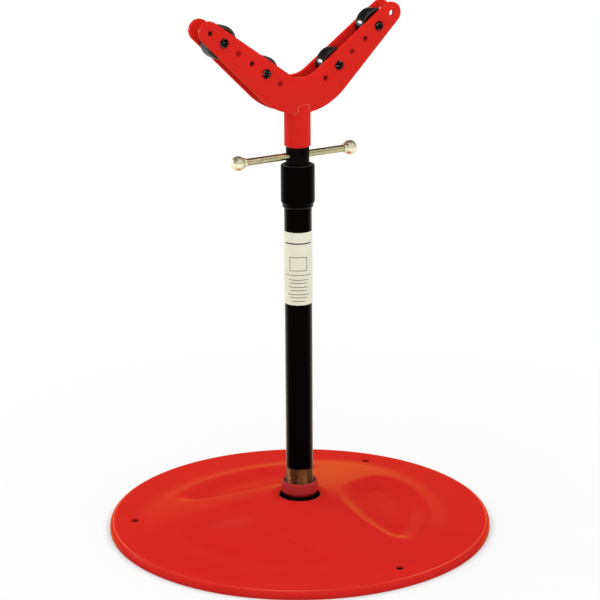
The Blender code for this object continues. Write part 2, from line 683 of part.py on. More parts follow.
def bolt_profile():
    """Section of a button head bolt with its head up."""
    dome = [
        (BOLT_HEAD_RADIUS * math.cos(math.pi / 2 * i / DOME_STEPS),
         STACK_HALF + BOLT_HEAD_HEIGHT * math.sin(math.pi / 2 * i / DOME_STEPS))
        for i in range(DOME_STEPS, -1, -1)
    ]
    dome[0] = (0, STACK_HALF + BOLT_HEAD_HEIGHT)
    end = -(STACK_HALF + FLAT_WASHER_THICKNESS + NUT_HEIGHT + 2 * SEAT_GAP + BOLT_END_PROUD)
    return dome + [(BOLT_RADIUS, STACK_HALF), (BOLT_RADIUS, end), (0, end)]


def make_roller_set(name, centre, parts, cutters, swivel_axis):
    """One roller on its sleeve, with the bolt, washer and nut that hold it."""
    across, up = centre
    middle = (across, 0, PLATE_BOTTOM + up)
    lay = (math.pi / 2, 0, 0)
    bolt = turned(f"bolt_{name}", bolt_profile(), SMALL_STEPS, "black_oxide", parts,
                  closed=False, parent=swivel_axis, location=middle, rotation=lay)
    top = STACK_HALF + BOLT_HEAD_HEIGHT
    socket = make_cutter(
        f"hex_{name}", rod_mesh("hex_key", HEX_SOCKET_RADIUS, 2 * HEX_SOCKET_DEPTH, 6),
        cutters, parent=swivel_axis, location=(across, -top, PLATE_BOTTOM + up), rotation=lay)
    combine(bolt, socket)
    sleeve_half = PLATE_GAP / 2 - SEAT_GAP
    turned(f"sleeve_{name}", ring_profile(HOLE_RADIUS, SLEEVE_RADIUS, -sleeve_half, sleeve_half),
           SMALL_STEPS, "bare_steel", parts, parent=swivel_axis, location=middle, rotation=lay)
    washer_end = -STACK_HALF - FLAT_WASHER_THICKNESS
    turned(f"washer_{name}",
           ring_profile(HOLE_RADIUS, FLAT_WASHER_RADIUS, washer_end, -STACK_HALF),
           SMALL_STEPS, "black_oxide", parts, parent=swivel_axis, location=middle, rotation=lay)
    nut_middle = STACK_HALF + FLAT_WASHER_THICKNESS + SEAT_GAP + NUT_HEIGHT / 2
    flat_piece(f"nut_{name}",
               [circle((0, 0), NUT_CORNER_RADIUS, 6), circle((0, 0), HOLE_RADIUS, SMALL_STEPS)],
               NUT_HEIGHT, "black_oxide", parts, parent=swivel_axis,
               location=(across, nut_middle, PLATE_BOTTOM + up), rotation=lay)
    spin_axis = make_axis(f"axis_roller_{name}", parts, swivel_axis, middle)
    bore = SLEEVE_RADIUS + SEAT_GAP
    face = ROLLER_HALF_WIDTH
    turned(f"roller_{name}",
           ring_profile(bore, ROLLER_RADIUS, -face, face, ROLLER_CHAMFER),
           ROLLER_STEPS, "black_paint", parts, parent=spin_axis, rotation=lay)


def main():
    """Build the whole stand."""
    clear_scene()
    parts = make_collection("pipe_jack_stand")
    cutters = make_collection("cutters")
    make_base_plate(parts, cutters)
    make_hub(parts)
    make_column(parts)
    make_collar(parts)
    lift_axis = make_axis("axis_screw_lift", parts)
    turned("thrust_washer",
           ring_profile(SPIGOT_RADIUS + SEAT_GAP, SCREW_HEAD_RADIUS - SCREW_HEAD_CHAMFER,
                        SCREW_HEAD_TOP + SEAT_GAP, SCREW_HEAD_TOP + SEAT_GAP + WASHER_THICKNESS),
           SCREW_STEPS, "bronze", parts, parent=lift_axis)
    turn_axis = make_axis("axis_screw_turn", parts, lift_axis)
    make_screw(parts, cutters, turn_axis)
    slide_axis = make_axis("axis_handle_slide", parts, turn_axis, (BAR_SHIFT, 0, HANDLE_HEIGHT))
    make_handle(parts, slide_axis)
    swivel_axis = make_axis("axis_head_swivel", parts, lift_axis)
    make_socket(parts, cutters, swivel_axis)
    make_plates(parts, swivel_axis)
    for side_name, side in (("left", -1), ("right", 1)):
        for station_name, station in ROLLER_STATIONS.items():
            make_roller_set(f"{side_name}_{station_name}", hole_place(side, station),
                            parts, cutters, swivel_axis)


main()
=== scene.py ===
"""Visual model of a pipe jack stand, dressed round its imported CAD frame.

Metres, +Z up, origin at the centre of the base on the floor. X runs along the plates of
the V head and Y along its roller bolts.
"""

from __future__ import annotations

import logging
import math
from dataclasses import dataclass, field, replace
from enum import Enum

import bmesh
import bpy
from mathutils import Matrix, Vector, noise

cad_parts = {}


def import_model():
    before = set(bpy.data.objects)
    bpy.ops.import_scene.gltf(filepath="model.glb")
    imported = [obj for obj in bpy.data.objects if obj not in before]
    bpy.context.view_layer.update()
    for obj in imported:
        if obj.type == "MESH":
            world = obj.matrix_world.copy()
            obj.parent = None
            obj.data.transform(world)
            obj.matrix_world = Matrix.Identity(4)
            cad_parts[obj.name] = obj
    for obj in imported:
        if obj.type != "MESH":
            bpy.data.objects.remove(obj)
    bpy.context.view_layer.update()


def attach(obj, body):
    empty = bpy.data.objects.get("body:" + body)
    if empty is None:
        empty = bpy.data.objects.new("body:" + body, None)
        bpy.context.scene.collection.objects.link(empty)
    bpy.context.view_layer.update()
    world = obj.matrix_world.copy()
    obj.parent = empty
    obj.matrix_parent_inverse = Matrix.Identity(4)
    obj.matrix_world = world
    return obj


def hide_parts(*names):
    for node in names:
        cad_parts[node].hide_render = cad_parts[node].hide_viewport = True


# A point of a section or a plane, any other two values, a point of space, and a colour
Point = tuple[float, float]
Pair = tuple[float, float]
Place = tuple[float, float, float]
Colour = tuple[float, float, float]
Socket = bpy.types.NodeSocket
Skin = bmesh.types.BMesh

LOG = logging.getLogger("pipe_jack_stand")
MM = 0.001

# The gap between seated pieces, the overlap of a cut, and the distance that merges points
SEAT_GAP = 0.3 * MM
HAIR = 0.01 * MM
MERGE_DISTANCE = 0.004 * MM

WHITE = (1.0, 1.0, 1.0)
EVEN = (1.0, 1.0, 1.0)
TURN_TO_X = Matrix.Rotation(math.pi / 2, 4, "Y")
TURN_TO_Y = Matrix.Rotation(math.pi / 2, 4, "X")

# Facets round a turned piece, from the largest to the smallest
LARGE_ROUND = 96
RING_ROUND = 72
BAR_ROUND = 64
SMALL_ROUND = 48
HOLE_ROUND = 40
STUD_ROUND = 32

# The most of a section's leg that the fillet at its end takes
LEG_SHARE = 0.49

# A weld bead's ripple: its steps, and its swell as a share of the bead's radius
RIPPLE_STEPS = 5
RIPPLE_SWELL = 0.11

# The slower wander of the bead's radius: its share, and its cells in a metre
WANDER_SWELL = 0.22
WANDER_SCALE = 160

# The share of its radius that a bead starts and ends with, and the steps that add a whole one
END_SHARE = 0.45
END_STEPS = 4

# Angles in degrees past which an edge is sharp, by the kind of piece
PLAIN_CORNER = 35.0
SHEET_CORNER = 40.0
THREAD_CORNER = 25.0
BEAD_CORNER = 80.0


class Body(Enum):
    """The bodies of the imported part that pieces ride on."""

    STAND = "stand"
    CARRIER = "carrier"
    SCREW = "screw"
    HANDLE = "handle"
    HEAD = "head"
    LEFT_OUTER_ROLLER = "left_outer_roller"
    LEFT_INNER_ROLLER = "left_inner_roller"
    RIGHT_OUTER_ROLLER = "right_outer_roller"
    RIGHT_INNER_ROLLER = "right_inner_roller"


class Slot(Enum):
    """The record's material slots."""

    RED = "red_paint"
    BLACK = "black_paint"
    ROLLER = "roller_black"
    OXIDE = "black_oxide"
    ZINC = "yellow_zinc"
    STEEL = "bare_steel"
    BRONZE = "bronze"
    LABEL = "label_film"


class Cut(Enum):
    """What is left when one skin cuts another."""

    REST = "DIFFERENCE"
    WHOLE = "UNION"
    SHARED = "INTERSECT"


# Materials


def rgba(colour: Colour, level: float = 1.0) -> tuple[float, float, float, float]:
    """Give a linear colour at a level as four numbers."""
    return (colour[0] * level, colour[1] * level, colour[2] * level, 1.0)


class NodeSheet:
    """A node tree, with short calls to add and link nodes."""

    def __init__(self, owner: bpy.types.Material | bpy.types.World) -> None:
        """Take up the node tree of a material or a world.

        Args:
            owner: What the tree belongs to.
        """
        owner.use_nodes = True
        self.nodes = owner.node_tree.nodes
        self.links = owner.node_tree.links

    def feed(self, socket: Socket, value: object) -> None:
        """Set an input, or link it when the value is another node's output.

        Args:
            socket: The input.
            value: A plain value or an output socket.
        """
        if isinstance(value, Socket):
            self.links.new(value, socket)
        else:
            socket.default_value = value

    def supply(self, node: bpy.types.Node, sockets: dict[str, object]) -> None:
        """Feed a node's inputs by name, with _ for a space."""
        for key, value in sockets.items():
            self.feed(node.inputs[key.replace("_", " ")], value)

    def add(self, kind: str, settings: dict[str, object] | None = None, *values: object,
            **sockets: object) -> bpy.types.Node:
        """Add a node.

        Args:
            kind: The node's type name, without its ShaderNode prefix.
            settings: Properties of the node.
            values: Values or output sockets for its first inputs, in order.
            sockets: Values or output sockets by input name, with _ for a space.

        Returns:
            The new node.
        """
        node = self.nodes.new(f"ShaderNode{kind}")
        for key, value in (settings or {}).items():
            setattr(node, key, value)
        for socket, value in zip(node.inputs, values):
            self.feed(socket, value)
        self.supply(node, sockets)
        return node

    def place(self, stretch: Place = EVEN) -> Socket:
        """Give Object coordinates, stretched along the axes."""
        source = self.add("TexCoord").outputs["Object"]
        return self.add("Mapping", Vector=source, Scale=stretch).outputs["Vector"]

    def upward(self, vector: Socket) -> Socket:
        """Give a vector's Z."""
        return self.add("SeparateXYZ", Vector=vector).outputs["Z"]

    def radius(self) -> Socket:
        """Give the distance from the column's axis."""
        flat = self.place((1, 1, 0))
        return self.add("VectorMath", {"operation": "LENGTH"}, flat).outputs["Value"]

    def facing(self) -> Socket:
        """Give zero where the surface faces the eye and one at its turned edge."""
        return self.add("LayerWeight", Blend=0.5).outputs["Facing"]

    def cloud(self, scale: float, detail: float = 2.0, roughness: float = 0.5,
              stretch: Place = EVEN) -> Socket:
        """Give a noise value from zero to one.

        Args:
            scale: Cells in a metre.
            detail: Octaves of the noise.
            roughness: Weight of the finer octaves.
            stretch: Stretch of the pattern along each axis.

        Returns:
            The noise's value socket.
        """
        texture = self.add("TexNoise", Vector=self.place(stretch), Scale=scale, Detail=detail,
                           Roughness=roughness)
        return texture.outputs["Fac"]

    def remap(self, value: Socket, low: float, high: float, start: float = 0.3,
              end: float = 0.7) -> Socket:
        """Map a value to another range, and hold it at the range's ends.

        Args:
            value: The value.
            low: Result at the start.
            high: Result at the end.
            start: Value that gives the low result.
            end: Value that gives the high result.

        Returns:
            The result's socket.
        """
        node = self.add("MapRange", Value=value, From_Min=start, From_Max=end, To_Min=low,
                        To_Max=high)
        return node.outputs["Result"]

    def colour_ramp(self, value: Socket, stops: tuple[tuple[float, Colour], ...]) -> Socket:
        """Map a value through a ramp of colours.

        Args:
            value: The value.
            stops: Place and colour of each stop, lowest place first.

        Returns:
            The ramp's colour socket.
        """
        node = self.add("ValToRGB", Fac=value)
        elements = node.color_ramp.elements
        for element, (reach, colour) in ((elements[1], stops[-1]), (elements[0], stops[0])):
            element.position, element.color = reach, rgba(colour)
        for reach, colour in stops[1:-1]:
            elements.new(reach).color = rgba(colour)
        return node.outputs["Color"]

    def ramp(self, value: Socket, stops: tuple[Pair, ...]) -> Socket:
        """Map a value through a ramp of (place, grey level) stops, lowest place first."""
        return self.colour_ramp(value, tuple((reach, (level,) * 3) for reach, level in stops))

    def mix(self, share: Socket, first: object, second: object) -> Socket:
        """Mix two colours.

        Args:
            share: Share of the second colour.
            first: The first colour or its socket.
            second: The second colour or its socket.

        Returns:
            The mixed colour's socket.
        """
        node = self.add("Mix", {"data_type": "RGBA"}, Factor=share)
        self.feed(node.inputs[6], first)
        self.feed(node.inputs[7], second)
        return node.outputs[2]

    def mix_shaders(self, share: Socket, first: Socket, second: Socket) -> Socket:
        """Mix two shaders by the share of the second."""
        return self.add("MixShader", None, share, first, second).outputs[0]

    def times(self, first: Socket, second: Socket) -> Socket:
        """Multiply two values."""
        return self.add("Math", {"operation": "MULTIPLY"}, first, second).outputs[0]

    def larger(self, first: Socket, second: Socket) -> Socket:
        """Give the larger of two values."""
        return self.add("Math", {"operation": "MAXIMUM"}, first, second).outputs[0]


class MaterialSheet(NodeSheet):
    """A material's node tree, with its shader."""

    def __init__(self, name: str) -> None:
        """Start a material whose tree holds a Principled shader and an output.

        Args:
            name: The material's name.
        """
        self.material = bpy.data.materials.new(name)
        super().__init__(self.material)
        self.shader = self.nodes["Principled BSDF"]

    def dress(self, **sockets: object) -> None:
        """Feed the shader's inputs by name, with _ for a space."""
        self.supply(self.shader, sockets)

    def bump(self, *layers: tuple[Socket, float, float]) -> None:
        """Stack bump layers on the shader's normal.

        Args:
            layers: Height socket, strength and depth in metres of each layer.
        """
        below = None
        for height, strength, depth in layers:
            node = self.add("Bump", Height=height, Strength=strength, Distance=depth)
            if below is not None:
                self.links.new(below, node.inputs["Normal"])
            below = node.outputs["Normal"]
        self.dress(Normal=below)


@dataclass(frozen=True)
class Glow:
    """A tinted sheen that stands in for warm reflections at a paint film's turned edges.

    It is a sheen lobe, so the lamps and the room light it, but its tint and its weight are
    painted reflection. Its rise gives the weight at each turn, from zero seen straight on to
    one edge on. The reflection shade patch is a round patch of painted shade where the crown
    would block that reflection: the x and y of its centre, and the radii at which the glow
    starts and is full. Level faces keep level_share of the glow, and those whose normal's Z
    is below the slope have it all.
    """

    tint: Colour
    rise: tuple[Pair, ...]
    roughness: float = 0.30
    reflection_shade_patch: tuple[float, float, float, float] | None = None
    level_share: float = 1.0
    slope: Pair = (0.9930, 0.9995)

    def weight(self, sheet: NodeSheet) -> Socket:
        """Give the glow's weight over the piece.

        Args:
            sheet: The sheet that its nodes go on.

        Returns:
            The weight's socket.
        """
        weight = sheet.ramp(sheet.facing(), self.rise)
        if self.level_share < 1:
            upright = sheet.upward(sheet.add("TexCoord").outputs["Normal"])
            weight = sheet.times(weight, sheet.remap(upright, 1.0, self.level_share, *self.slope))
        if self.reflection_shade_patch is None:
            return weight
        # Painted shade: no glow in a round patch in front of the crown
        across, along, inner, outer = self.reflection_shade_patch
        away = sheet.add("VectorMath", {"operation": "DISTANCE"}, sheet.place((1, 1, 0)),
                         (across, along, 0))
        return sheet.times(weight, sheet.remap(away.outputs["Value"], 0.0, 1.0, inner, outer))


@dataclass(frozen=True)
class Finish:
    """A finish that drifts between a colour and a shade of it."""

    name: str
    colour: Colour
    shade: Colour
    roughness: float
    slot: Slot

    def colours(self, sheet: NodeSheet) -> Socket:
        """Give the colour with its slow drift."""
        drift = sheet.remap(sheet.cloud(9.0, detail=3.0), 0.0, 1.0)
        return sheet.mix(drift, rgba(self.colour), rgba(self.shade))

    def rough(self, sheet: NodeSheet, pattern: Socket, low: float, high: float) -> Socket:
        """Vary the roughness by a pattern, between two shares of its middle value."""
        return sheet.remap(pattern, self.roughness * low, self.roughness * high)

    def dress(self, sheet: MaterialSheet) -> None:
        """Set up the shader of a material's sheet."""
        raise NotImplementedError

    def material(self, piece_name: str) -> bpy.types.Material:
        """Make the finish's material for one piece.

        Args:
            piece_name: The piece's name.

        Returns:
            The new material.
        """
        sheet = MaterialSheet(f"{piece_name}_{self.name}")
        self.dress(sheet)
        return sheet.material


@dataclass(frozen=True)
class SprayPaint(Finish):
    """Sprayed enamel: even colour with faint drift, orange peel and a soft gloss.

    The gloss goes from its first value, seen straight on, to its second at the turned
    edges, over the span of turn that gloss_turn gives.
    """

    gloss: Pair
    peel: float
    glow: Glow | None = None
    gloss_turn: Pair = (0.35, 0.75)
    spread: Pair = (0.88, 1.14)
    peel_depth: float = 0.20 * MM

    def dress(self, sheet: MaterialSheet) -> None:
        """Spray the paint.

        Args:
            sheet: The material's sheet.
        """
        if self.gloss[0] == self.gloss[1]:
            gloss = self.gloss[0]
        else:
            gloss = sheet.remap(sheet.facing(), *self.gloss, *self.gloss_turn)
        sheet.dress(Base_Color=self.colours(sheet), Specular_IOR_Level=gloss,
                    Roughness=self.rough(sheet, sheet.cloud(40.0, 3.0, 0.6), *self.spread))
        if self.glow is not None:
            sheet.dress(Sheen_Weight=self.glow.weight(sheet),
                        Sheen_Roughness=self.glow.roughness, Sheen_Tint=rgba(self.glow.tint))
        sheet.bump((sheet.cloud(95.0), self.peel, self.peel_depth))


@dataclass(frozen=True)
class ShadedFootPaint(SprayPaint):
    """Enamel darkened to near black below a height: painted shade on the coupling's foot, where the
    gap round it is in shadow.
    """

    # Painted shade: the near black that the foot takes, standing in for the shadow in the gap
    metal: Colour = (0.006, 0.002, 0.002)
    shadow_height: float = 50.5 * MM
    full: float = 58.5 * MM

    def colours(self, sheet: NodeSheet) -> Socket:
        """Give the paint's colour with painted shade: near black below the shadow height, full
        colour from the full height.
        """
        unshaded_share = sheet.remap(sheet.upward(sheet.place()), 0.0, 1.0, self.shadow_height, self.full)
        return sheet.mix(unshaded_share, rgba(self.metal), super().colours(sheet))


@dataclass(frozen=True)
class RimHighlightPaint(SprayPaint):
    """Enamel with a painted highlight: a paler line round a disc's rim, on the fold where a
    lamp's highlight would lie.

    The line rises and falls over the two radii at its inner and its outer side, and its
    strength wanders between the two values as it goes round.
    """

    # Colour of the painted highlight line on the rim's fold
    line: Colour = (0.86, 0.17, 0.07)
    inner: Pair = (291.8 * MM, 292.8 * MM)
    outer: Pair = (293.6 * MM, 295.0 * MM)
    strength: Pair = (0.1375, 0.55)
    wander: Pair = (0.42, 0.58)

    def colours(self, sheet: NodeSheet) -> Socket:
        """Give the paint's colour with the painted highlight line round the rim.

        Args:
            sheet: The sheet that its nodes go on.

        Returns:
            The colour's socket.
        """
        radius = sheet.radius()
        highlight_share = sheet.remap(sheet.cloud(3.5, detail=1.0), *self.strength, *self.wander)
        start = sheet.times(highlight_share, sheet.remap(radius, 0.0, 1.0, *self.inner))
        end = sheet.remap(radius, 1.0, 0.0, *self.outer)
        return sheet.mix(sheet.times(start, end), super().colours(sheet), rgba(self.line))


@dataclass(frozen=True)
class PlatedMetal(Finish):
    """Zinc plated steel: pale yellow shine over drawn steel, mottled by its passivation."""

    edge: Colour
    mottled: Pair = (0.38, 0.66)
    drawn: Place = (0.03, 1.0, 1.0)
    spread: Pair = (0.75, 1.4)

    def colours(self, sheet: NodeSheet) -> Socket:
        """Give the plating's colour with its blotches."""
        blotch = sheet.remap(sheet.cloud(130.0, 4.0, 0.6), 0.0, 1.0, *self.mottled)
        return sheet.mix(blotch, rgba(self.colour), rgba(self.shade))

    def dress(self, sheet: MaterialSheet) -> None:
        """Plate the metal.

        Args:
            sheet: The material's sheet.
        """
        lines = sheet.cloud(900.0, 3.0, 0.6, self.drawn)
        sheet.dress(Base_Color=self.colours(sheet), Metallic=1.0, Specular_Tint=rgba(self.edge),
                    Roughness=self.rough(sheet, lines, *self.spread))
        sheet.bump((lines, 0.25, 0.03 * MM), (sheet.cloud(240.0, 3.0), 0.3, 0.08 * MM))


@dataclass(frozen=True)
class TurnedMetal(Finish):
    """Turned or threaded metal with tool marks round its axis and a film of oil.

    Its patches of the shade have a scale, a stretch and the noise values between which
    they come up.
    """

    metallic: float
    gloss: float
    patches: float = 75.0
    grain: Place = EVEN
    worn: Pair = (0.36, 0.66)
    rings: Place = (0.05, 0.05, 1.0)
    spread: Pair = (0.8, 1.3)

    def colours(self, sheet: NodeSheet) -> Socket:
        """Give the metal's colour with its stained or worn patches."""
        patch = sheet.remap(sheet.cloud(self.patches, 4.0, 0.6, self.grain), 0.0, 1.0, *self.worn)
        return sheet.mix(patch, rgba(self.colour), rgba(self.shade))

    def dress(self, sheet: MaterialSheet) -> None:
        """Turn the metal.

        Args:
            sheet: The material's sheet.
        """
        sheet.dress(Base_Color=self.colours(sheet), Metallic=self.metallic,
                    Specular_IOR_Level=self.gloss,
                    Roughness=self.rough(sheet, sheet.cloud(190.0, 3.0, 0.6), *self.spread))
        rings = sheet.cloud(900.0, stretch=self.rings)
        sheet.bump((rings, 0.15, 0.03 * MM), (sheet.cloud(330.0, 3.0), 0.15, 0.05 * MM))


@dataclass(frozen=True)
class LabelStock(Finish):
    """Blank cream label stock with a faint paper grain under a thin clear coat."""

    coat: float = 0.2
    coat_roughness: float = 0.25
    spread: Pair = (0.85, 1.2)

    def colours(self, sheet: NodeSheet) -> Socket:
        """Give the stock's colour with its aged parts."""
        warm = sheet.remap(sheet.cloud(14.0), 0.0, 1.0)
        return sheet.mix(warm, rgba(self.colour), rgba(self.shade))

    def dress(self, sheet: MaterialSheet) -> None:
        """Lay the stock.

        Args:
            sheet: The material's sheet.
        """
        fibre = sheet.cloud(700.0, 4.0, 0.7)
        sheet.dress(Base_Color=self.colours(sheet), Coat_Weight=self.coat,
                    Coat_Roughness=self.coat_roughness,
                    Roughness=self.rough(sheet, fibre, *self.spread))
        sheet.bump((fibre, 0.15, 0.02 * MM))


# Painted reflection: each glow tints a sheen to stand in for warm or olive reflections at turned
# edges, and BASE_GLOW's patch is painted shade in front of the crown
WARM_GLOW = Glow((1.0, 0.56, 0.12), ((0.72, 0.0), (0.90, 0.70)))
BASE_GLOW = Glow((1.0, 0.32, 0.058), ((0.565, 0.0), (0.63, 0.75), (0.70, 0.80), (0.78, 1.0),
                                      (0.85, 0.95), (0.92, 0.50), (1.0, 0.30)),
                 reflection_shade_patch=(-126 * MM, -81 * MM, 120 * MM, 148 * MM), level_share=0.40)
OLIVE_GLOW = Glow((0.95, 0.88, 0.50), ((0.30, 0.0), (0.80, 1.0)))
FAINT_GLOW = Glow((0.95, 0.88, 0.50), ((0.25, 0.0), (0.75, 0.10)))
RED_ENAMEL = SprayPaint("red_enamel", (0.71, 0.017, 0.011), (0.67, 0.015, 0.010), 0.24, Slot.RED,
                        (0.07, 0.0), 0.03, WARM_GLOW)
# Painted shade and highlight: the base's red is a darker copy of the enamel, with a painted
# highlight line round its rim
BASE_ENAMEL_SHADED_HIGHLIT = RimHighlightPaint("base_enamel_shaded_highlit", (0.645, 0.0190, 0.0150), (0.610, 0.0175, 0.0140), 0.24,
                          Slot.RED, (0.03, 0.0), 0.03, BASE_GLOW, (0.30, 0.60))
RED_BEAD = SprayPaint("red_bead", (0.73, 0.020, 0.013), (0.69, 0.018, 0.012), 0.14, Slot.RED,
                      (0.7, 0.3), 0.10, WARM_GLOW)
# Painted shade: the coupling's red is a darker copy of the enamel, and its foot fades to near black
HUB_ENAMEL_SHADED = ShadedFootPaint("hub_enamel_shaded", (0.42, 0.030, 0.031), (0.36, 0.026, 0.027), 0.42, Slot.RED,
                        (0.10, 0.02), 0.06)
BLACK_ENAMEL = SprayPaint("black_enamel", (0.0012, 0.0005, 0.0005), (0.0020, 0.0010, 0.0008),
                          0.28, Slot.BLACK, (0.012, 0.18), 0.05, OLIVE_GLOW)
COLLAR_ENAMEL = SprayPaint("collar_enamel", (0.0010, 0.0005, 0.0005), (0.0018, 0.0010, 0.0008),
                           0.34, Slot.BLACK, (0.010, 0.05), 0.05, FAINT_GLOW)
BEAD_ENAMEL = SprayPaint("bead_enamel", (0.0030, 0.0024, 0.0020), (0.0060, 0.0048, 0.0040),
                         0.14, Slot.BLACK, (0.3, 0.3), 0.05)
ROLLER_BLACK = SprayPaint("roller_black", (0.0040, 0.0036, 0.0034), (0.0060, 0.0054, 0.0050),
                          0.16, Slot.ROLLER, (0.60, 0.10), 0.03)
LABEL_INK = SprayPaint("label_ink", (0.020, 0.019, 0.012), (0.030, 0.028, 0.018), 0.50,
                       Slot.LABEL, (0.3, 0.2), 0.02)
YELLOW_ZINC = PlatedMetal("yellow_zinc", (0.57, 0.54, 0.33), (0.44, 0.40, 0.20), 0.28,
                          Slot.ZINC, (0.50, 0.46, 0.22))
# Painted highlight: a brighter copy of the zinc for the balls, standing in for their highlights
BALL_ZINC_HIGHLIT = PlatedMetal("ball_zinc_highlit", (1.0, 0.99, 0.76), (0.92, 0.89, 0.62), 0.40, Slot.ZINC,
                        (0.58, 0.56, 0.30))
BLACK_OXIDE = TurnedMetal("black_oxide", (0.0022, 0.0016, 0.0014), (0.0060, 0.0046, 0.0038),
                          0.26, Slot.OXIDE, 0.0, 0.015)
SHANK_OXIDE = TurnedMetal("shank_oxide", (0.075, 0.068, 0.062), (0.034, 0.030, 0.027), 0.30,
                          Slot.OXIDE, 0.8, 0.5)
BOLT_OXIDE = TurnedMetal("bolt_oxide", (0.0016, 0.0012, 0.0012), (0.34, 0.26, 0.22), 0.22,
                         Slot.OXIDE, 0.0, 0.03, 420.0, worn=(0.57, 0.64))
THREAD_STEEL = TurnedMetal("thread_steel", (0.44, 0.21, 0.08), (0.13, 0.037, 0.018), 0.30,
                           Slot.STEEL, 1.0, 0.5, 170.0, (1.0, 1.0, 0.10))
BRIGHT_STEEL = TurnedMetal("bright_steel", (0.58, 0.57, 0.55), (0.46, 0.44, 0.42), 0.26,
                           Slot.STEEL, 1.0, 0.5)
BRONZE = TurnedMetal("bearing_bronze", (0.26, 0.15, 0.07), (0.15, 0.08, 0.04), 0.36,
                     Slot.BRONZE, 1.0, 0.5)
OILY_BRONZE = TurnedMetal("oily_bronze", (0.030, 0.018, 0.010), (0.015, 0.009, 0.006), 0.40,
                          Slot.BRONZE, 0.6, 0.2)
LABEL_STOCK = LabelStock("label_stock", (0.82, 0.83, 0.66), (0.78, 0.77, 0.59), 0.45,
                         Slot.LABEL)


# Mesh shop


def shown(name: str, data: bpy.types.ID) -> bpy.types.Object:
    """Put data in the scene as a new object.

    Args:
        name: The object's name.
        data: Its mesh, curve, lamp or camera.

    Returns:
        The new object.
    """
    made = bpy.data.objects.new(name, data)
    bpy.context.scene.collection.objects.link(made)
    return made


def mesh_of(name: str, shape: Skin) -> bpy.types.Mesh:
    """Turn a skin into a mesh.

    Args:
        name: The mesh's name.
        shape: The skin, used up by the call.

    Returns:
        The new mesh.
    """
    mesh = bpy.data.meshes.new(name)
    shape.to_mesh(mesh)
    shape.free()
    return mesh


def taken_from(made: bpy.types.Object) -> Skin:
    """Take the skin of an object as its curve and modifiers give it.

    Args:
        made: The object.

    Returns:
        Its skin, with doubles merged.
    """
    bpy.context.view_layer.update()
    mesh = bpy.data.meshes.new_from_object(
        made.evaluated_get(bpy.context.evaluated_depsgraph_get()))
    shape = bmesh.new()
    shape.from_mesh(mesh)
    bpy.data.meshes.remove(mesh)
    bmesh.ops.remove_doubles(shape, verts=shape.verts, dist=MERGE_DISTANCE)
    return shape


@dataclass(frozen=True)
class Corner:
    """A point of a turned section, with the radius that rounds it."""

    radius: float
    height: float
    fillet: float = 0.0
    steps: int = 4


def mirrored(corners: list[Corner]) -> list[Corner]:
    """Give a section's corners upside down and in the opposite order."""
    return [replace(corner, height=-corner.height) for corner in reversed(corners)]


def rounded(corners: list[Corner], closed: bool = True) -> list[Point]:
    """Round the corners of a section.

    Args:
        corners: The section's corners in order.
        closed: Whether the last corner joins the first.

    Returns:
        Points of (radius, height).
    """
    points: list[Point] = []
    count = len(corners)
    for index, corner in enumerate(corners):
        here = Vector((corner.radius, corner.height))
        ends = not closed and index in (0, count - 1)
        if corner.fillet <= 0 or ends:
            points.append(tuple(here))
            continue
        before = corners[index - 1]
        after = corners[(index + 1) % count]
        back = Vector((before.radius, before.height)) - here
        forth = Vector((after.radius, after.height)) - here
        reach = min(corner.fillet, back.length * LEG_SHARE, forth.length * LEG_SHARE)
        start, end = here + back.normalized() * reach, here + forth.normalized() * reach
        for step in range(corner.steps + 1):
            t = step / corner.steps
            point = start * (1 - t) ** 2 + here * 2 * t * (1 - t) + end * t ** 2
            points.append(tuple(point))
    return points


def swept(points: list[Point], steps: int, closed: bool = False, angle: float = math.tau,
          rise: float = 0.0) -> Skin:
    """Sweep a section about Z.

    Args:
        points: Section as (radius, height).
        steps: Facets in the sweep.
        closed: Whether the section closes on itself.
        angle: Angle of the sweep.
        rise: Rise along Z in the sweep.

    Returns:
        The new skin, with doubles merged.
    """
    shape = bmesh.new()
    verts = [shape.verts.new((radius, 0, height)) for radius, height in points]
    pairs = list(zip(verts, verts[1:]))
    if closed:
        pairs.append((verts[-1], verts[0]))
    edges = [shape.edges.new(pair) for pair in pairs]
    bmesh.ops.spin(shape, geom=verts + edges, cent=(0, 0, 0), axis=(0, 0, 1),
                   dvec=(0, 0, rise / steps), angle=angle, steps=steps,
                   use_merge=angle == math.tau and rise == 0, use_duplicate=False)
    bmesh.ops.remove_doubles(shape, verts=shape.verts, dist=MERGE_DISTANCE)
    return shape


def spun(points: list[Point], steps: int, closed: bool = True) -> Skin:
    """Spin a section about Z into a closed skin.

    Args:
        points: Section as (radius, height).
        steps: Facets round the axis.
        closed: Whether the section closes on itself, and otherwise ends on the axis.

    Returns:
        The new skin.
    """
    shape = swept(points, steps, closed)
    bmesh.ops.recalc_face_normals(shape, faces=shape.faces)
    return shape


def turned(corners: list[Corner], steps: int, closed: bool = True) -> Skin:
    """Turn a piece from the corners of its section, as rounded and spun take them."""
    return spun(rounded(corners, closed), steps, closed)


def ring(inner: float, outer: float, low: float, high: float, edges: Pair, steps: int) -> Skin:
    """Turn a plain ring, such as a washer or a sleeve.

    Args:
        inner: Radius of its bore.
        outer: Radius of its outside.
        low: Height of its lower face.
        high: Height of its upper face.
        edges: Radii that round its outer and its inner edges.
        steps: Facets round the axis.

    Returns:
        The ring as a closed skin.
    """
    outside, inside = edges
    return turned([Corner(outer, high, outside), Corner(outer, low, outside),
                   Corner(inner, low, inside), Corner(inner, high, inside)], steps)


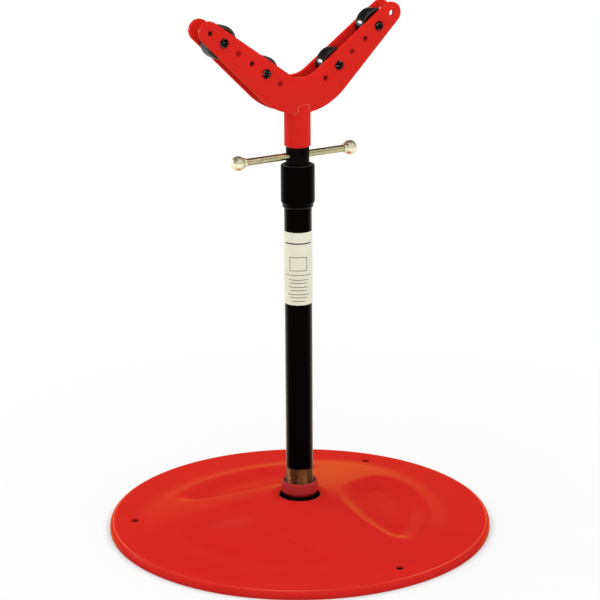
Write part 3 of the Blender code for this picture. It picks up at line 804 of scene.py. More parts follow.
def arc(centre: Point, radius: float, start: float, end: float, steps: int) -> list[Point]:
    """Give the points of an arc, both ends included.

    Args:
        centre: Centre of the arc.
        radius: Its radius.
        start: Angle of its first point.
        end: Angle of its last point.
        steps: Straight pieces that it is made of.

    Returns:
        Its points, one more than the steps.
    """
    angles = [start + (end - start) * i / steps for i in range(steps + 1)]
    return [(centre[0] + radius * math.cos(angle), centre[1] + radius * math.sin(angle))
            for angle in angles]


def circle(centre: Point, radius: float, steps: int) -> list[Point]:
    """Give the points of a whole circle."""
    return arc(centre, radius, 0, math.tau * (steps - 1) / steps, steps - 1)


def ring_path(radius: float, height: float) -> list[Place]:
    """Give the points of a level ring."""
    return [(across, along, height) for across, along in circle((0.0, 0.0), radius, RING_ROUND)]


def skin_of(curve: bpy.types.Curve) -> Skin:
    """Turn a curve into a closed skin.

    Args:
        curve: The curve, used up by the call.

    Returns:
        Its skin, merged, with its faces outwards.
    """
    blank = shown("curve_blank", curve)
    shape = taken_from(blank)
    bpy.data.objects.remove(blank, do_unlink=True)
    bpy.data.curves.remove(curve)
    bmesh.ops.recalc_face_normals(shape, faces=shape.faces)
    return shape


def plate(loops: list[list[Point]], thickness: float, edge: float) -> Skin:
    """Make a flat plate with rounded edges.

    Args:
        loops: Outline, then holes, as points in the plate's own plane.
        thickness: Thickness of the plate along its Z.
        edge: Radius that rounds its edges.

    Returns:
        The plate's skin, centred on the plane.
    """
    curve = bpy.data.curves.new("plate_outline", "CURVE")
    curve.dimensions = "2D"
    curve.fill_mode = "BOTH"
    curve.bevel_depth = edge
    curve.bevel_resolution = 2
    curve.offset = -edge
    curve.extrude = thickness / 2 - edge
    for loop in loops:
        spline = curve.splines.new("POLY")
        spline.points.add(len(loop) - 1)
        for point, (across, up) in zip(spline.points, loop):
            point.co = (across, up, 0, 1)
        spline.use_cyclic_u = True
    return skin_of(curve)


def prism(radius: float, height: float, sides: int) -> Skin:
    """Make an upright prism or cylinder, centred on the origin.

    Args:
        radius: Distance from its axis to its corners.
        height: Its height.
        sides: Number of its sides.

    Returns:
        The new skin.
    """
    shape = bmesh.new()
    bmesh.ops.create_cone(shape, cap_ends=True, segments=sides, radius1=radius, radius2=radius,
                          depth=height)
    return shape


def block(size: Place) -> Skin:
    """Make a block, centred on the origin.

    Args:
        size: Its size along each axis.

    Returns:
        The new skin.
    """
    shape = bmesh.new()
    bmesh.ops.create_cube(shape, size=1, matrix=Matrix.Diagonal((*size, 1)))
    return shape


def moved(shape: Skin, matrix: Matrix) -> Skin:
    """Transform a skin and give it back."""
    bmesh.ops.transform(shape, matrix=matrix, verts=shape.verts)
    return shape


def shifted(shape: Skin, across: float, along: float, up: float) -> Skin:
    """Shift a skin along the three axes and give it back."""
    return moved(shape, Matrix.Translation((across, along, up)))


def joined(*shapes: Skin) -> Skin:
    """Put several closed skins in one.

    Args:
        shapes: The skins, used up by the call.

    Returns:
        The new skin.
    """
    whole = bmesh.new()
    for shape in shapes:
        mesh = mesh_of("part_of_join", shape)
        whole.from_mesh(mesh)
        bpy.data.meshes.remove(mesh)
    return whole


def carved(shape: Skin, tool: Skin, cut: Cut = Cut.REST) -> Skin:
    """Cut one skin with another.

    Args:
        shape: The skin that is cut, used up by the call.
        tool: The skin that cuts it, used up by the call.
        cut: What is left of the two.

    Returns:
        The new skin.
    """
    blank, knife = [shown(name, mesh_of(name, skin))
                    for name, skin in (("carved_blank", shape), ("carving_tool", tool))]
    carving = blank.modifiers.new("cut", "BOOLEAN")
    carving.operation = cut.value
    carving.object = knife
    carving.solver = "EXACT"
    result = taken_from(blank)
    for carrier in (blank, knife):
        mesh = carrier.data
        bpy.data.objects.remove(carrier, do_unlink=True)
        bpy.data.meshes.remove(mesh)
    return result


def bevelled(shape: Skin, edges: list[bmesh.types.BMEdge], width: float, segments: int) -> Skin:
    """Bevel some edges of a skin and give it back.

    Args:
        shape: The skin.
        edges: The edges.
        width: Width that the bevel takes from each face.
        segments: Rows of faces across it.

    Returns:
        The same skin.
    """
    bmesh.ops.bevel(shape, geom=edges, offset=width, offset_type="OFFSET", segments=segments,
                    profile=0.5, affect="EDGES", material=-1)
    return shape


def bead(points: list[Place], size: float, pitch: float, closed: bool = False) -> Skin:
    """Lay a rippled weld bead along a path.

    Args:
        points: The path's corners.
        size: Radius of the bead.
        pitch: Length of one ripple.
        closed: Whether the path closes on itself.

    Returns:
        The bead as a closed skin.
    """
    path = [Vector(point) for point in points]
    legs = list(zip(path, path[1:] + path[:1])) if closed else list(zip(path, path[1:]))
    places = []
    for start, end in legs:
        count = max(1, round((end - start).length / (pitch / RIPPLE_STEPS)))
        places += [start.lerp(end, step / count) for step in range(count)]
    if not closed:
        places.append(path[-1])
    curve = bpy.data.curves.new("bead_path", "CURVE")
    curve.dimensions = "3D"
    curve.bevel_depth = size
    curve.bevel_resolution = 3
    curve.use_fill_caps = True
    spline = curve.splines.new("POLY")
    spline.points.add(len(places) - 1)
    spline.use_cyclic_u = closed
    for index, (point, place) in enumerate(zip(spline.points, places)):
        point.co = (*place, 1)
        swell = 1 + RIPPLE_SWELL * math.cos(math.tau * index / RIPPLE_STEPS)
        swell += WANDER_SWELL * noise.noise(place * WANDER_SCALE)
        ends = min(index, len(places) - 1 - index)
        point.radius = swell if closed else swell * min(1.0, END_SHARE + ends / END_STEPS)
    return skin_of(curve)


def helix(root: float, crest: float, lead: float, bottom: float, top: float, steps: int,
          flat: float) -> Skin:
    """Cut a screw thread as a closed skin.

    Args:
        root: Radius at the bottom of the groove.
        crest: Radius at the top of the ridge.
        lead: Rise in one turn.
        bottom: Lower end of the thread.
        top: Upper end of the thread.
        steps: Facets in one turn.
        flat: Width of each flat as a share of the lead.

    Returns:
        The thread as a solid rod, trimmed square at both ends.
    """
    turns = math.ceil((top - bottom) / lead) + 2
    start = bottom - lead
    flank = (1 - 2 * flat) / 2
    tooth = ((root, 0.0), (root, flat), (crest, flat + flank), (crest, 2 * flat + flank))
    points = [(radius, start + index * lead + share * lead)
              for index in range(turns) for radius, share in tooth]
    shape = swept([*points, (root, start + turns * lead)], steps, rise=lead)
    for level, keep_below in ((bottom, False), (top, True)):
        bmesh.ops.bisect_plane(shape, geom=shape.verts[:] + shape.edges[:] + shape.faces[:],
                               dist=MERGE_DISTANCE, plane_co=(0, 0, level),
                               plane_no=(0, 0, 1), clear_outer=keep_below,
                               clear_inner=not keep_below)
        rim = [edge for edge in shape.edges if edge.is_boundary
               and all(abs(vert.co.z - level) < 10 * MERGE_DISTANCE for vert in edge.verts)]
        bmesh.ops.holes_fill(shape, edges=rim)
    bmesh.ops.recalc_face_normals(shape, faces=shape.faces)
    return shape


def piece(name: str, shape: Skin, finish: Finish, body: Body, *nodes: str,
          corner: float = PLAIN_CORNER) -> None:
    """Turn a skin into a finished piece that rides on a body.

    Args:
        name: The piece's name.
        shape: Its skin at its place on the stand, used up by the call.
        finish: The finish that makes its material.
        body: The body that it rides on.
        nodes: CAD nodes that it stands for.
        corner: Angle in degrees past which an edge is sharp.
    """
    mesh = mesh_of(name, shape)
    mesh.shade_smooth()
    mesh.set_sharp_from_angle(angle=math.radians(corner))
    mesh.materials.append(finish.material(name))
    made = shown(name, mesh)
    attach(made, body.value)
    if nodes:
        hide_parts(*nodes)
    LOG.info("%s: %d faces", name, len(mesh.polygons))


# Sub-assemblies


def eased(share: float) -> float:
    """Smooth step from zero to one."""
    share = min(max(share, 0.0), 1.0)
    return share * share * (3 - 2 * share)


def blend(start: float, end: float, share: float) -> float:
    """Give the value a share of the way from start to end, held at both ends."""
    return start + (end - start) * min(max(share, 0.0), 1.0)


@dataclass
class PressedBase:
    """The pressed steel base with its hub coupling, doubler and weld."""

    radius: float = 298.3 * MM
    sheet: float = 3.0 * MM
    rim_height: float = 12.7 * MM
    corner_radius: float = 7.0 * MM
    crown_height: float = 48.0 * MM
    hole_radius: float = 32.5 * MM
    hole_lip: float = 1.0 * MM
    anchor_edge: float = 38.6 * MM
    anchor_radius: float = 6.3 * MM
    drill_length: float = 20.0 * MM
    turn: float = math.radians(32.8)
    slope_start: float = 44.0 * MM
    slope_end: float = 224.5 * MM
    spoke_reach: float = 24.0 * MM
    spoke_spread: float = math.radians(34.0)
    foot_blend: float = 17.0 * MM
    pan_edge: float = 81.0 * MM
    pan_apex: float = 58.0 * MM
    pan_angle: float = math.radians(47.5)
    pan_nose: float = 84.0 * MM
    pan_side_wall: float = 33.0 * MM
    pan_outer_wall: float = 46.0 * MM
    pan_corner_power: float = 1.5
    pan_floor: float = 13.2 * MM
    pan_floor_top: float = 23.5 * MM
    pan_floor_length: float = 116.0 * MM
    hub_radius: float = 28.6 * MM
    hub_top: float = 72.0 * MM
    hub_length: float = 67.0 * MM
    bore: float = 21.4 * MM
    bore_step: float = 45.7 * MM
    lower_bore: float = 19.0 * MM
    mouth_depth: float = 4.0 * MM
    mouth_shoulder: Pair = (1.6 * MM, 1.8 * MM)
    mouth_width: float = 2.4 * MM
    waist_depth: float = 3.4 * MM
    waist_rise: float = 1.0 * MM
    waist_fall: float = 7.0 * MM
    shoulder_rise: float = 6.5 * MM
    doubler_width: float = 21.0 * MM
    doubler_thickness: float = 6.0 * MM
    weld_size: float = 1.75 * MM
    weld_pitch: float = 3.2 * MM
    weld_out: float = 1.9 * MM
    weld_drop: float = 2.0 * MM
    steps: int = 288
    bands: int = 96

    def height(self, across: float, along: float) -> float:
        """Give the height of the sheet's upper face over a point of the plan.

        Args:
            across: X of the point.
            along: Y of the point.

        Returns:
            The height, on the cone, in a pan or on the wall between them.
        """
        radius = math.hypot(across, along)
        sector = math.tau / 3
        turn = (math.atan2(along, across) - self.turn) % sector - sector / 2
        floor = blend(self.pan_floor_top, self.pan_floor,
                      (radius - self.slope_start) / self.pan_floor_length)
        forward = radius * math.cos(turn) - self.pan_apex
        sideways = math.hypot(radius * math.sin(turn), self.pan_nose) - self.pan_nose
        side = forward * math.sin(self.pan_angle) - sideways * math.cos(self.pan_angle)
        away = max(1 - side / self.pan_side_wall, 0)
        short = max(1 - (self.radius - self.pan_edge - radius) / self.pan_outer_wall, 0)
        power = self.pan_corner_power
        share = eased(1 - (away ** power + short ** power) ** (1 / power))
        return blend(self.spoke_height(radius, sector / 2 - abs(turn)), floor, share)

    def spoke_height(self, radius: float, turn: float) -> float:
        """Give the height of the cone between the pans, with its softly rounded foot.

        Args:
            radius: Distance from the column's axis.
            turn: Angle from the nearest spoke.

        Returns:
            The height of its upper face.
        """
        end = self.slope_end + self.spoke_reach * math.exp(-(turn / self.spoke_spread) ** 2)
        fall = (self.crown_height - self.rim_height) / (end - self.slope_start)
        if radius < end - self.foot_blend:
            return self.crown_height - fall * max(radius - self.slope_start, 0)
        rest = max(end + self.foot_blend - radius, 0)
        return self.rim_height + fall * rest * rest / (4 * self.foot_blend)

    def sheet_skin(self) -> Skin:
        """Press the sheet: a spun disc whose points are set to the pressed height.

        Returns:
            The sheet as a closed skin, with a hole for the coupling.
        """
        flat_end = self.radius - self.corner_radius
        run = flat_end - self.hole_radius
        points = [(self.hole_radius + run * i / self.bands, self.rim_height)
                  for i in range(self.bands)]
        points += arc((flat_end, self.rim_height - self.corner_radius), self.corner_radius,
                      math.pi / 2, 0, 8)
        points.append((self.radius, 0.0))
        shape = spun(points, self.steps, closed=False)
        for vert in shape.verts:
            if math.hypot(vert.co.x, vert.co.y) < flat_end - MM:
                vert.co.z = self.height(vert.co.x, vert.co.y)
        bmesh.ops.recalc_face_normals(shape, faces=shape.faces)
        if sum(face.normal.z for face in shape.faces) < 0:
            bmesh.ops.reverse_faces(shape, faces=shape.faces)
        bmesh.ops.solidify(shape, geom=shape.faces[:], thickness=self.sheet)
        bmesh.ops.recalc_face_normals(shape, faces=shape.faces)
        return shape

    def hub_rim(self, skin: Skin) -> list[bmesh.types.BMEdge]:
        """Find the upper edge of the hole that the coupling stands in.

        Args:
            skin: The base's skin.

        Returns:
            The edges round the hole.
        """
        reach = self.hole_radius + 10 * HAIR
        floor = self.crown_height - self.sheet / 2
        return [edge for edge in skin.edges
                if all(math.hypot(vert.co.x, vert.co.y) < reach and vert.co.z > floor
                       for vert in edge.verts)]

    def build(self) -> None:
        """Build the base's pieces."""
        reach = self.radius - self.anchor_edge
        angles = [self.turn + math.tau * index / 3 for index in range(3)]
        drills = [shifted(prism(self.anchor_radius, self.drill_length, SMALL_ROUND),
                          reach * math.cos(angle), reach * math.sin(angle), self.rim_height)
                  for angle in angles]
        skin = carved(self.sheet_skin(), joined(*drills))
        bevelled(skin, self.hub_rim(skin), self.hole_lip, 4)
        piece("base_sheet", skin, BASE_ENAMEL_SHADED_HIGHLIT, Body.STAND, "base_plate", corner=SHEET_CORNER)
        self.build_hub()
        self.build_doubler()

    def build_hub(self) -> None:
        """Build the coupling, waisted where it passes through the crown."""
        bottom = self.hub_top - self.hub_length
        waist, foot = self.hub_radius - self.waist_depth, self.crown_height - self.waist_fall
        out, down = self.mouth_shoulder
        socket = turned([
            Corner(self.hub_radius, self.hub_top, 3.4 * MM, 6),
            Corner(self.hub_radius, self.crown_height + self.shoulder_rise, 2.5 * MM, 6),
            Corner(waist, self.crown_height + self.waist_rise, 1.5 * MM),
            Corner(waist, foot + self.waist_depth, 0.5 * MM),
            Corner(self.hub_radius, foot, 0.5 * MM),
            Corner(self.hub_radius, bottom, 3.0 * MM, 6),
            Corner(self.lower_bore, bottom, 0.6 * MM),
            Corner(self.lower_bore, self.bore_step, 0.3 * MM),
            Corner(self.bore, self.bore_step, 0.2 * MM),
            Corner(self.bore, self.hub_top - self.mouth_depth, 0.5 * MM),
            Corner(self.bore + out, self.hub_top - down, 0.5 * MM),
            Corner(self.bore + self.mouth_width, self.hub_top, 0.4 * MM),
        ], LARGE_ROUND)
        piece("hub_socket", socket, HUB_ENAMEL_SHADED, Body.STAND, "hub_coupling")

    def build_doubler(self) -> None:
        """Build the doubler under the crown and the weld that joins it to the coupling."""
        top, inner = self.crown_height - self.sheet - SEAT_GAP, self.hub_radius + SEAT_GAP
        outer, bottom = inner + self.doubler_width, top - self.doubler_thickness
        doubler = turned([
            Corner(outer, top, 5.5 * MM), Corner(outer, bottom, 0.5 * MM),
            Corner(inner, bottom, 0.3 * MM), Corner(inner, top, 0.3 * MM),
        ], LARGE_ROUND)
        # Painted shade: the doubler and its weld are dressed in black oxide rather than red paint,
        # so the gap round the coupling reads dark
        piece("crown_doubler", doubler, BLACK_OXIDE, Body.STAND, "hub_doubler")
        path = ring_path(inner + self.weld_out, bottom - SEAT_GAP - self.weld_drop)
        weld = bead(path, self.weld_size, self.weld_pitch, closed=True)
        piece("crown_weld", weld, BLACK_OXIDE, Body.STAND, "hub_weld", corner=BEAD_CORNER)


@dataclass
class Column:
    """The pipe column, its bare threaded end and its blank label.

    The ruling of the label is placed by the fall of each rule from the label's top.
    """

    radius: float = 21.1 * MM
    bore: float = 17.5 * MM
    bottom: float = 46.0 * MM
    top: float = 535.0 * MM
    pipe_steps: int = 144
    paint_run: float = 1.6 * MM
    paint_film: float = 0.25 * MM
    run_depth: float = 1.28 * MM
    run_scale: float = 110.0
    fine_scale: float = 330.0
    fine_share: float = 0.6
    thread_top: float = 97.0 * MM
    thread_pitch: float = 2.209 * MM
    thread_sink: float = 0.3 * MM
    thread_depth: float = 0.95 * MM
    thread_flat: float = 0.08
    label_rise: float = 0.6 * MM
    label_thickness: float = 0.51 * MM
    label_top: float = 477.2 * MM
    label_height: float = 114.0 * MM
    label_sweep: float = math.radians(172.0)
    label_turn: float = math.radians(238.0)
    facet_sweep: float = math.radians(2.5)
    ink_rise: float = 0.06 * MM
    ink_thickness: float = 0.048 * MM
    print_sweep: float = math.radians(118.0)
    heading_fall: float = 16.0 * MM
    heading_rule: float = 2.0 * MM
    box_falls: Pair = (38.0 * MM, 59.0 * MM)
    box_sweep: float = math.radians(72.0)
    rule_height: float = 0.9 * MM
    rules: tuple[Pair, ...] = (
        (66.0 * MM, 1.0), (73.5 * MM, 0.72), (78.5 * MM, 0.62), (85.0 * MM, 0.72),
        (90.0 * MM, 0.62), (96.4 * MM, 0.80), (101.4 * MM, 0.60), (107.0 * MM, 0.45),
    )

    def build(self) -> None:
        """Build the column's pieces."""
        split, film = self.thread_top, self.radius - self.paint_film
        pipe = turned([
            Corner(self.radius, self.top, 0.6 * MM), Corner(self.radius, split),
            Corner(self.radius, split - self.paint_run), Corner(film, split - self.paint_run),
            Corner(film, split), Corner(self.bore, split), Corner(self.bore, self.top, 0.4 * MM),
        ], self.pipe_steps)
        for vert in pipe.verts:
            if vert.co.z < split - self.paint_run / 2:
                place = Vector((vert.co.x, vert.co.y, 0))
                run = noise.noise(place * self.run_scale)
                run += self.fine_share * noise.noise(place * self.fine_scale)
                vert.co.z += self.run_depth * run
        piece("column_tube", pipe, BLACK_ENAMEL, Body.STAND, "column_pipe")
        crest = self.radius - self.thread_sink
        thread = helix(crest - self.thread_depth, crest, self.thread_pitch, self.bottom,
                       split - 2 * HAIR, RING_ROUND, self.thread_flat)
        thread = carved(thread, prism(self.bore, 2 * self.top, LARGE_ROUND))
        piece("column_thread", thread, THREAD_STEEL, Body.STAND, corner=THREAD_CORNER)
        self.build_label()

    def build_label(self) -> None:
        """Wrap the blank label round the front of the column and rule it."""
        outer = self.radius + self.label_rise
        low = self.label_top - self.label_height
        label = self.wrap(outer, self.label_thickness, low, self.label_top, self.label_sweep, 24)
        piece("label_wrap", label, LABEL_STOCK, Body.STAND, "column_label")
        self.build_ruling(outer)

    def wrap(self, radius: float, thickness: float, low: float, high: float, sweep: float,
             bands: int = 2, turn: float = 0.0) -> Skin:
        """Bend a strip round the front of the column.

        Args:
            radius: Radius of its outer face.
            thickness: Thickness, measured inwards.
            low: Height of its lower edge.
            high: Height of its upper edge.
            sweep: Angle that it covers.
            bands: Rows of faces.
            turn: Angle from the label's middle to the strip's middle.

        Returns:
            The strip as a closed skin.
        """
        points = [(radius, low + (high - low) * i / bands) for i in range(bands + 1)]
        shape = swept(points, max(2, round(sweep / self.facet_sweep)), angle=sweep)
        bmesh.ops.recalc_face_normals(shape, faces=shape.faces)
        middle = shape.faces[:][len(shape.faces) // 2]
        if middle.normal.dot(middle.calc_center_median() * Vector((1, 1, 0))) < 0:
            bmesh.ops.reverse_faces(shape, faces=shape.faces)
        bmesh.ops.solidify(shape, geom=shape.faces[:], thickness=thickness)
        bmesh.ops.recalc_face_normals(shape, faces=shape.faces)
        return moved(shape, Matrix.Rotation(self.label_turn + turn - sweep / 2, 4, "Z"))

    def build_ruling(self, outer: float) -> None:
        """Print a heading rule, an empty box and blank lines, as on an unfilled form.

        Args:
            outer: Radius of the label's face.
        """
        face, deep, top = outer + self.ink_rise, self.ink_thickness, self.label_top

        def strip(fall: float, height: float, sweep: float, turn: float = 0.0) -> Skin:
            """Print one strip, its upper edge a fall below the label's top."""
            return self.wrap(face, deep, top - fall - height, top - fall, sweep, turn=turn)

        strips = [strip(self.heading_fall, self.heading_rule, self.print_sweep)]
        high, low = self.box_falls
        strips += [strip(fall, self.rule_height, self.box_sweep) for fall in self.box_falls]
        strips += [strip(high, low - high, self.rule_height / self.radius,
                         hand * self.box_sweep / 2) for hand in (-1, 1)]
        strips += [strip(fall, self.rule_height, self.print_sweep * share)
                   for fall, share in self.rules]
        piece("label_ruling", joined(*strips), LABEL_INK, Body.STAND)


@dataclass
class JackCollar:
    """The collar on top of the column, its welds and the nut that it holds."""

    radius: float = 25.85 * MM
    bore: float = 21.4 * MM
    bottom: float = 516.0 * MM
    top: float = 579.0 * MM
    crown: Pair = (0.4 * MM, 2.6 * MM)
    foot_rise: float = 0.8 * MM
    taper_rise: float = 6.6 * MM
    taper_depth: float = 3.3 * MM
    weld_pitch: float = 3.4 * MM
    foot_weld: float = 1.35 * MM
    foot_weld_shift: Point = (0.9 * MM, -0.7 * MM)
    rim_weld: float = 1.5 * MM
    rim_weld_shift: Point = (-0.2 * MM, -0.1 * MM)
    nut_radius: float = 21.1 * MM
    nut_bore: float = 16.2 * MM
    nut_bottom: float = 535.3 * MM
    nut_fall: float = 0.8 * MM
    nut_chamfer: float = 1.4 * MM

    def weld(self, size: float, level: float, shift: Point) -> Skin:
        """Lay a ring of weld at the bore, shifted out and up from a level.

        Args:
            size: Radius of the bead.
            level: Height that it is placed from.
            shift: How far out of the bore and up from the level it lies.

        Returns:
            The bead's skin.
        """
        out, up = shift
        return bead(ring_path(self.bore + out, level + up), size, self.weld_pitch, closed=True)

    def build(self) -> None:
        """Build the collar's pieces."""
        foot = self.bottom + self.foot_rise
        inset, fall = self.crown
        sleeve = turned([
            Corner(self.radius - inset, self.top, 2.0 * MM, 6),
            Corner(self.radius, self.top - fall, 0.8 * MM),
            Corner(self.radius, self.bottom + self.taper_rise, 1.4 * MM),
            Corner(self.radius - self.taper_depth, foot, 0.8 * MM),
            Corner(self.bore, foot, 0.2 * MM), Corner(self.bore, self.top, 0.6 * MM),
        ], LARGE_ROUND)
        piece("collar_sleeve", sleeve, COLLAR_ENAMEL, Body.STAND, "jack_collar")
        low = self.weld(self.foot_weld, self.bottom, self.foot_weld_shift)
        piece("collar_bead", low, BEAD_ENAMEL, Body.STAND, "collar_weld", corner=BEAD_CORNER)
        rim = self.weld(self.rim_weld, self.top, self.rim_weld_shift)
        piece("collar_rim_bead", rim, BEAD_ENAMEL, Body.STAND, corner=BEAD_CORNER)
        top = self.top - self.nut_fall
        nut = turned([
            Corner(self.nut_radius, top, 0.5 * MM),
            Corner(self.nut_radius, self.nut_bottom, 0.4 * MM),
            Corner(self.nut_bore, self.nut_bottom, 0.3 * MM),
            Corner(self.nut_bore, top - self.nut_chamfer, 0.3 * MM),
            Corner(self.nut_bore + self.nut_chamfer, top, 0.3 * MM),
        ], LARGE_ROUND)
        piece("nut_bush", nut, BRONZE, Body.STAND, "jack_nut")


@dataclass
class JackScrew:
    """The jack screw with its head and spigot, stop, ring and thrust washer."""

    radius: float = 15.875 * MM
    root: float = 13.3 * MM
    lead: float = 6.35 * MM
    thread_steps: int = 40
    thread_flat: float = 0.16
    bottom: float = 179.1 * MM
    head_bottom: float = 579.3 * MM
    head_top: float = 605.5 * MM
    head_radius: float = 17.7 * MM
    neck: float = 0.6 * MM
    spigot_radius: float = 11.0 * MM
    spigot_top: float = 649.6 * MM
    groove_depth: float = 0.8 * MM
    groove_height: float = 1.8 * MM
    ring_bottom: float = 645.1 * MM
    ring_grip: float = 0.5 * MM
    ring_width: float = 3.0 * MM
    ring_thickness: float = 1.5 * MM
    ring_split: Place = (14.0 * MM, 4.0 * MM, 6.0 * MM)
    cross_height: float = 593.5 * MM
    cross_radius: float = 5.68 * MM
    cross_length: float = 60.0 * MM
    thrust_radius: float = 16.7 * MM
    thrust_bore: float = 11.3 * MM
    thrust_thickness: float = 1.2 * MM
    stop_radius: float = 17.0 * MM
    stop_thickness: float = 4.0 * MM
    tapped_radius: float = 4.3 * MM
    tapped_depth: float = 23.0 * MM
    bolt_radius: float = 4.0 * MM
    bolt_depth: float = 18.0 * MM
    bolt_head_radius: float = 6.5 * MM
    bolt_head_height: float = 5.4 * MM
    bolt_sink: float = 1.0 * MM

    def build(self) -> None:
        """Build the screw's pieces."""
        self.build_head()
        shank = helix(self.root, self.radius, self.lead, self.bottom,
                      self.head_bottom - 2 * HAIR, self.thread_steps, self.thread_flat)
        hole = prism(self.tapped_radius, 2 * self.tapped_depth, SMALL_ROUND)
        shank = carved(shank, shifted(hole, 0, 0, self.bottom))
        piece("screw_shank", shank, SHANK_OXIDE, Body.SCREW, corner=THREAD_CORNER)
        self.build_stop()
        inner = self.spigot_radius - self.ring_grip
        clip = ring(inner, inner + self.ring_width, self.ring_bottom,
                    self.ring_bottom + self.ring_thickness, (0.25 * MM, 0.2 * MM), RING_ROUND)
        clip = carved(clip, shifted(block(self.ring_split), self.ring_split[0] / 2 + HAIR, 0,
                                    self.ring_bottom))
        piece("spigot_ring", clip, BRIGHT_STEEL, Body.SCREW, "retaining_ring")
        low = self.head_top + SEAT_GAP
        washer = ring(self.thrust_bore, self.thrust_radius, low, low + self.thrust_thickness,
                      (0.3 * MM, 0.2 * MM), RING_ROUND)
        piece("thrust_ring", washer, OILY_BRONZE, Body.CARRIER, "thrust_washer")

    def build_head(self) -> None:
        """Build the head with its spigot, grooved for the ring, and drilled for the bar."""
        groove = self.spigot_radius - self.groove_depth
        floor, roof = self.ring_bottom - SEAT_GAP, self.ring_bottom + self.groove_height
        head = turned([
            Corner(0, self.spigot_top), Corner(self.spigot_radius, self.spigot_top, 1.0 * MM),
            Corner(self.spigot_radius, roof), Corner(groove, roof), Corner(groove, floor),
            Corner(self.spigot_radius, floor),
            Corner(self.spigot_radius, self.head_top, 0.4 * MM),
            Corner(self.head_radius, self.head_top, 0.9 * MM),
            Corner(self.head_radius, self.head_bottom, 1.2 * MM),
            Corner(self.root + self.neck, self.head_bottom), Corner(0, self.head_bottom),
        ], LARGE_ROUND, closed=False)
        cross = moved(prism(self.cross_radius, self.cross_length, BAR_ROUND),
                      Matrix.Translation((0, 0, self.cross_height)) @ TURN_TO_X)
        piece("screw_head", carved(head, cross), BLACK_OXIDE, Body.SCREW, "jack_screw")

    def build_stop(self) -> None:
        """Build the stop washer under the shank and the bolt that holds it."""
        top = self.bottom - SEAT_GAP
        low = top - self.stop_thickness
        washer = ring(self.tapped_radius, self.stop_radius, low, top, (0.5 * MM, 0.3 * MM),
                      RING_ROUND)
        piece("stop_disc", washer, BRIGHT_STEEL, Body.SCREW, "stop_washer")
        seat, end = low - SEAT_GAP, self.bottom + self.bolt_depth
        root = seat - self.bolt_sink
        shank = turned([
            Corner(0, end), Corner(self.bolt_radius, end, 0.6 * MM),
            Corner(self.bolt_radius, root), Corner(0, root),
        ], STUD_ROUND, closed=False)
        head = shifted(prism(self.bolt_head_radius, self.bolt_head_height, 6), 0, 0,
                       seat - self.bolt_head_height / 2)
        bevelled(head, head.edges[:], 0.35 * MM, 2)
        piece("stop_screw", carved(shank, head, Cut.WHOLE), BLACK_OXIDE, Body.SCREW, "stop_bolt")


@dataclass
class SlidingHandle:
    """The sliding bar with a ball pressed on each end."""

    height: float
    bar_radius: float = 5.3 * MM
    half_span: float = 98.7 * MM
    shift: float = -5.0 * MM
    ball_radius: float = 11.0 * MM
    neck_radius: float = 7.0 * MM
    neck_length: float = 4.0 * MM
    lip_width: float = 0.5 * MM
    lip_height: float = 0.4 * MM
    lip_round: float = 0.1 * MM
    bore_depth: float = 6.0 * MM
    bore_play: float = 0.15 * MM

    def build(self) -> None:
        """Build the bar and its two balls."""
        half = self.half_span - self.ball_radius + self.bore_depth - SEAT_GAP
        lay = Matrix.Translation((self.shift, 0, self.height)) @ TURN_TO_X
        bar = moved(prism(self.bar_radius, 2 * half, BAR_ROUND), lay)
        piece("bar_rod", bar, YELLOW_ZINC, Body.HANDLE, "handle_bar")
        for hand, side in (("left", -1), ("right", 1)):
            lay = Matrix.Translation((self.shift + side * self.half_span, 0, self.height))
            lay = lay @ Matrix.Rotation(-side * math.pi / 2, 4, "Y")
            piece(f"ball_{hand}", moved(self.ball(), lay), BALL_ZINC_HIGHLIT, Body.HANDLE,
                  f"handle_ball_{hand}")

    def ball(self) -> Skin:
        """Turn a ball with its neck and bore.

        Returns:
            The ball about the origin, its neck upwards.
        """
        bore = self.bar_radius + self.bore_play
        mouth = math.sqrt(self.ball_radius ** 2 - self.neck_radius ** 2)
        bore_end, neck_end = self.ball_radius - self.bore_depth, mouth + self.neck_length
        points = [(0.0, bore_end), (bore, bore_end), (bore, neck_end),
                  (self.neck_radius - self.lip_width, neck_end),
                  (self.neck_radius - self.lip_round, neck_end - self.lip_height),
                  (self.neck_radius, mouth + self.neck_length / 2)]
        points += arc((0.0, 0.0), self.ball_radius, math.asin(mouth / self.ball_radius),
                      -math.pi / 2, 28)
        points[-1] = (0.0, -self.ball_radius)
        return spun(points, BAR_ROUND, closed=False)


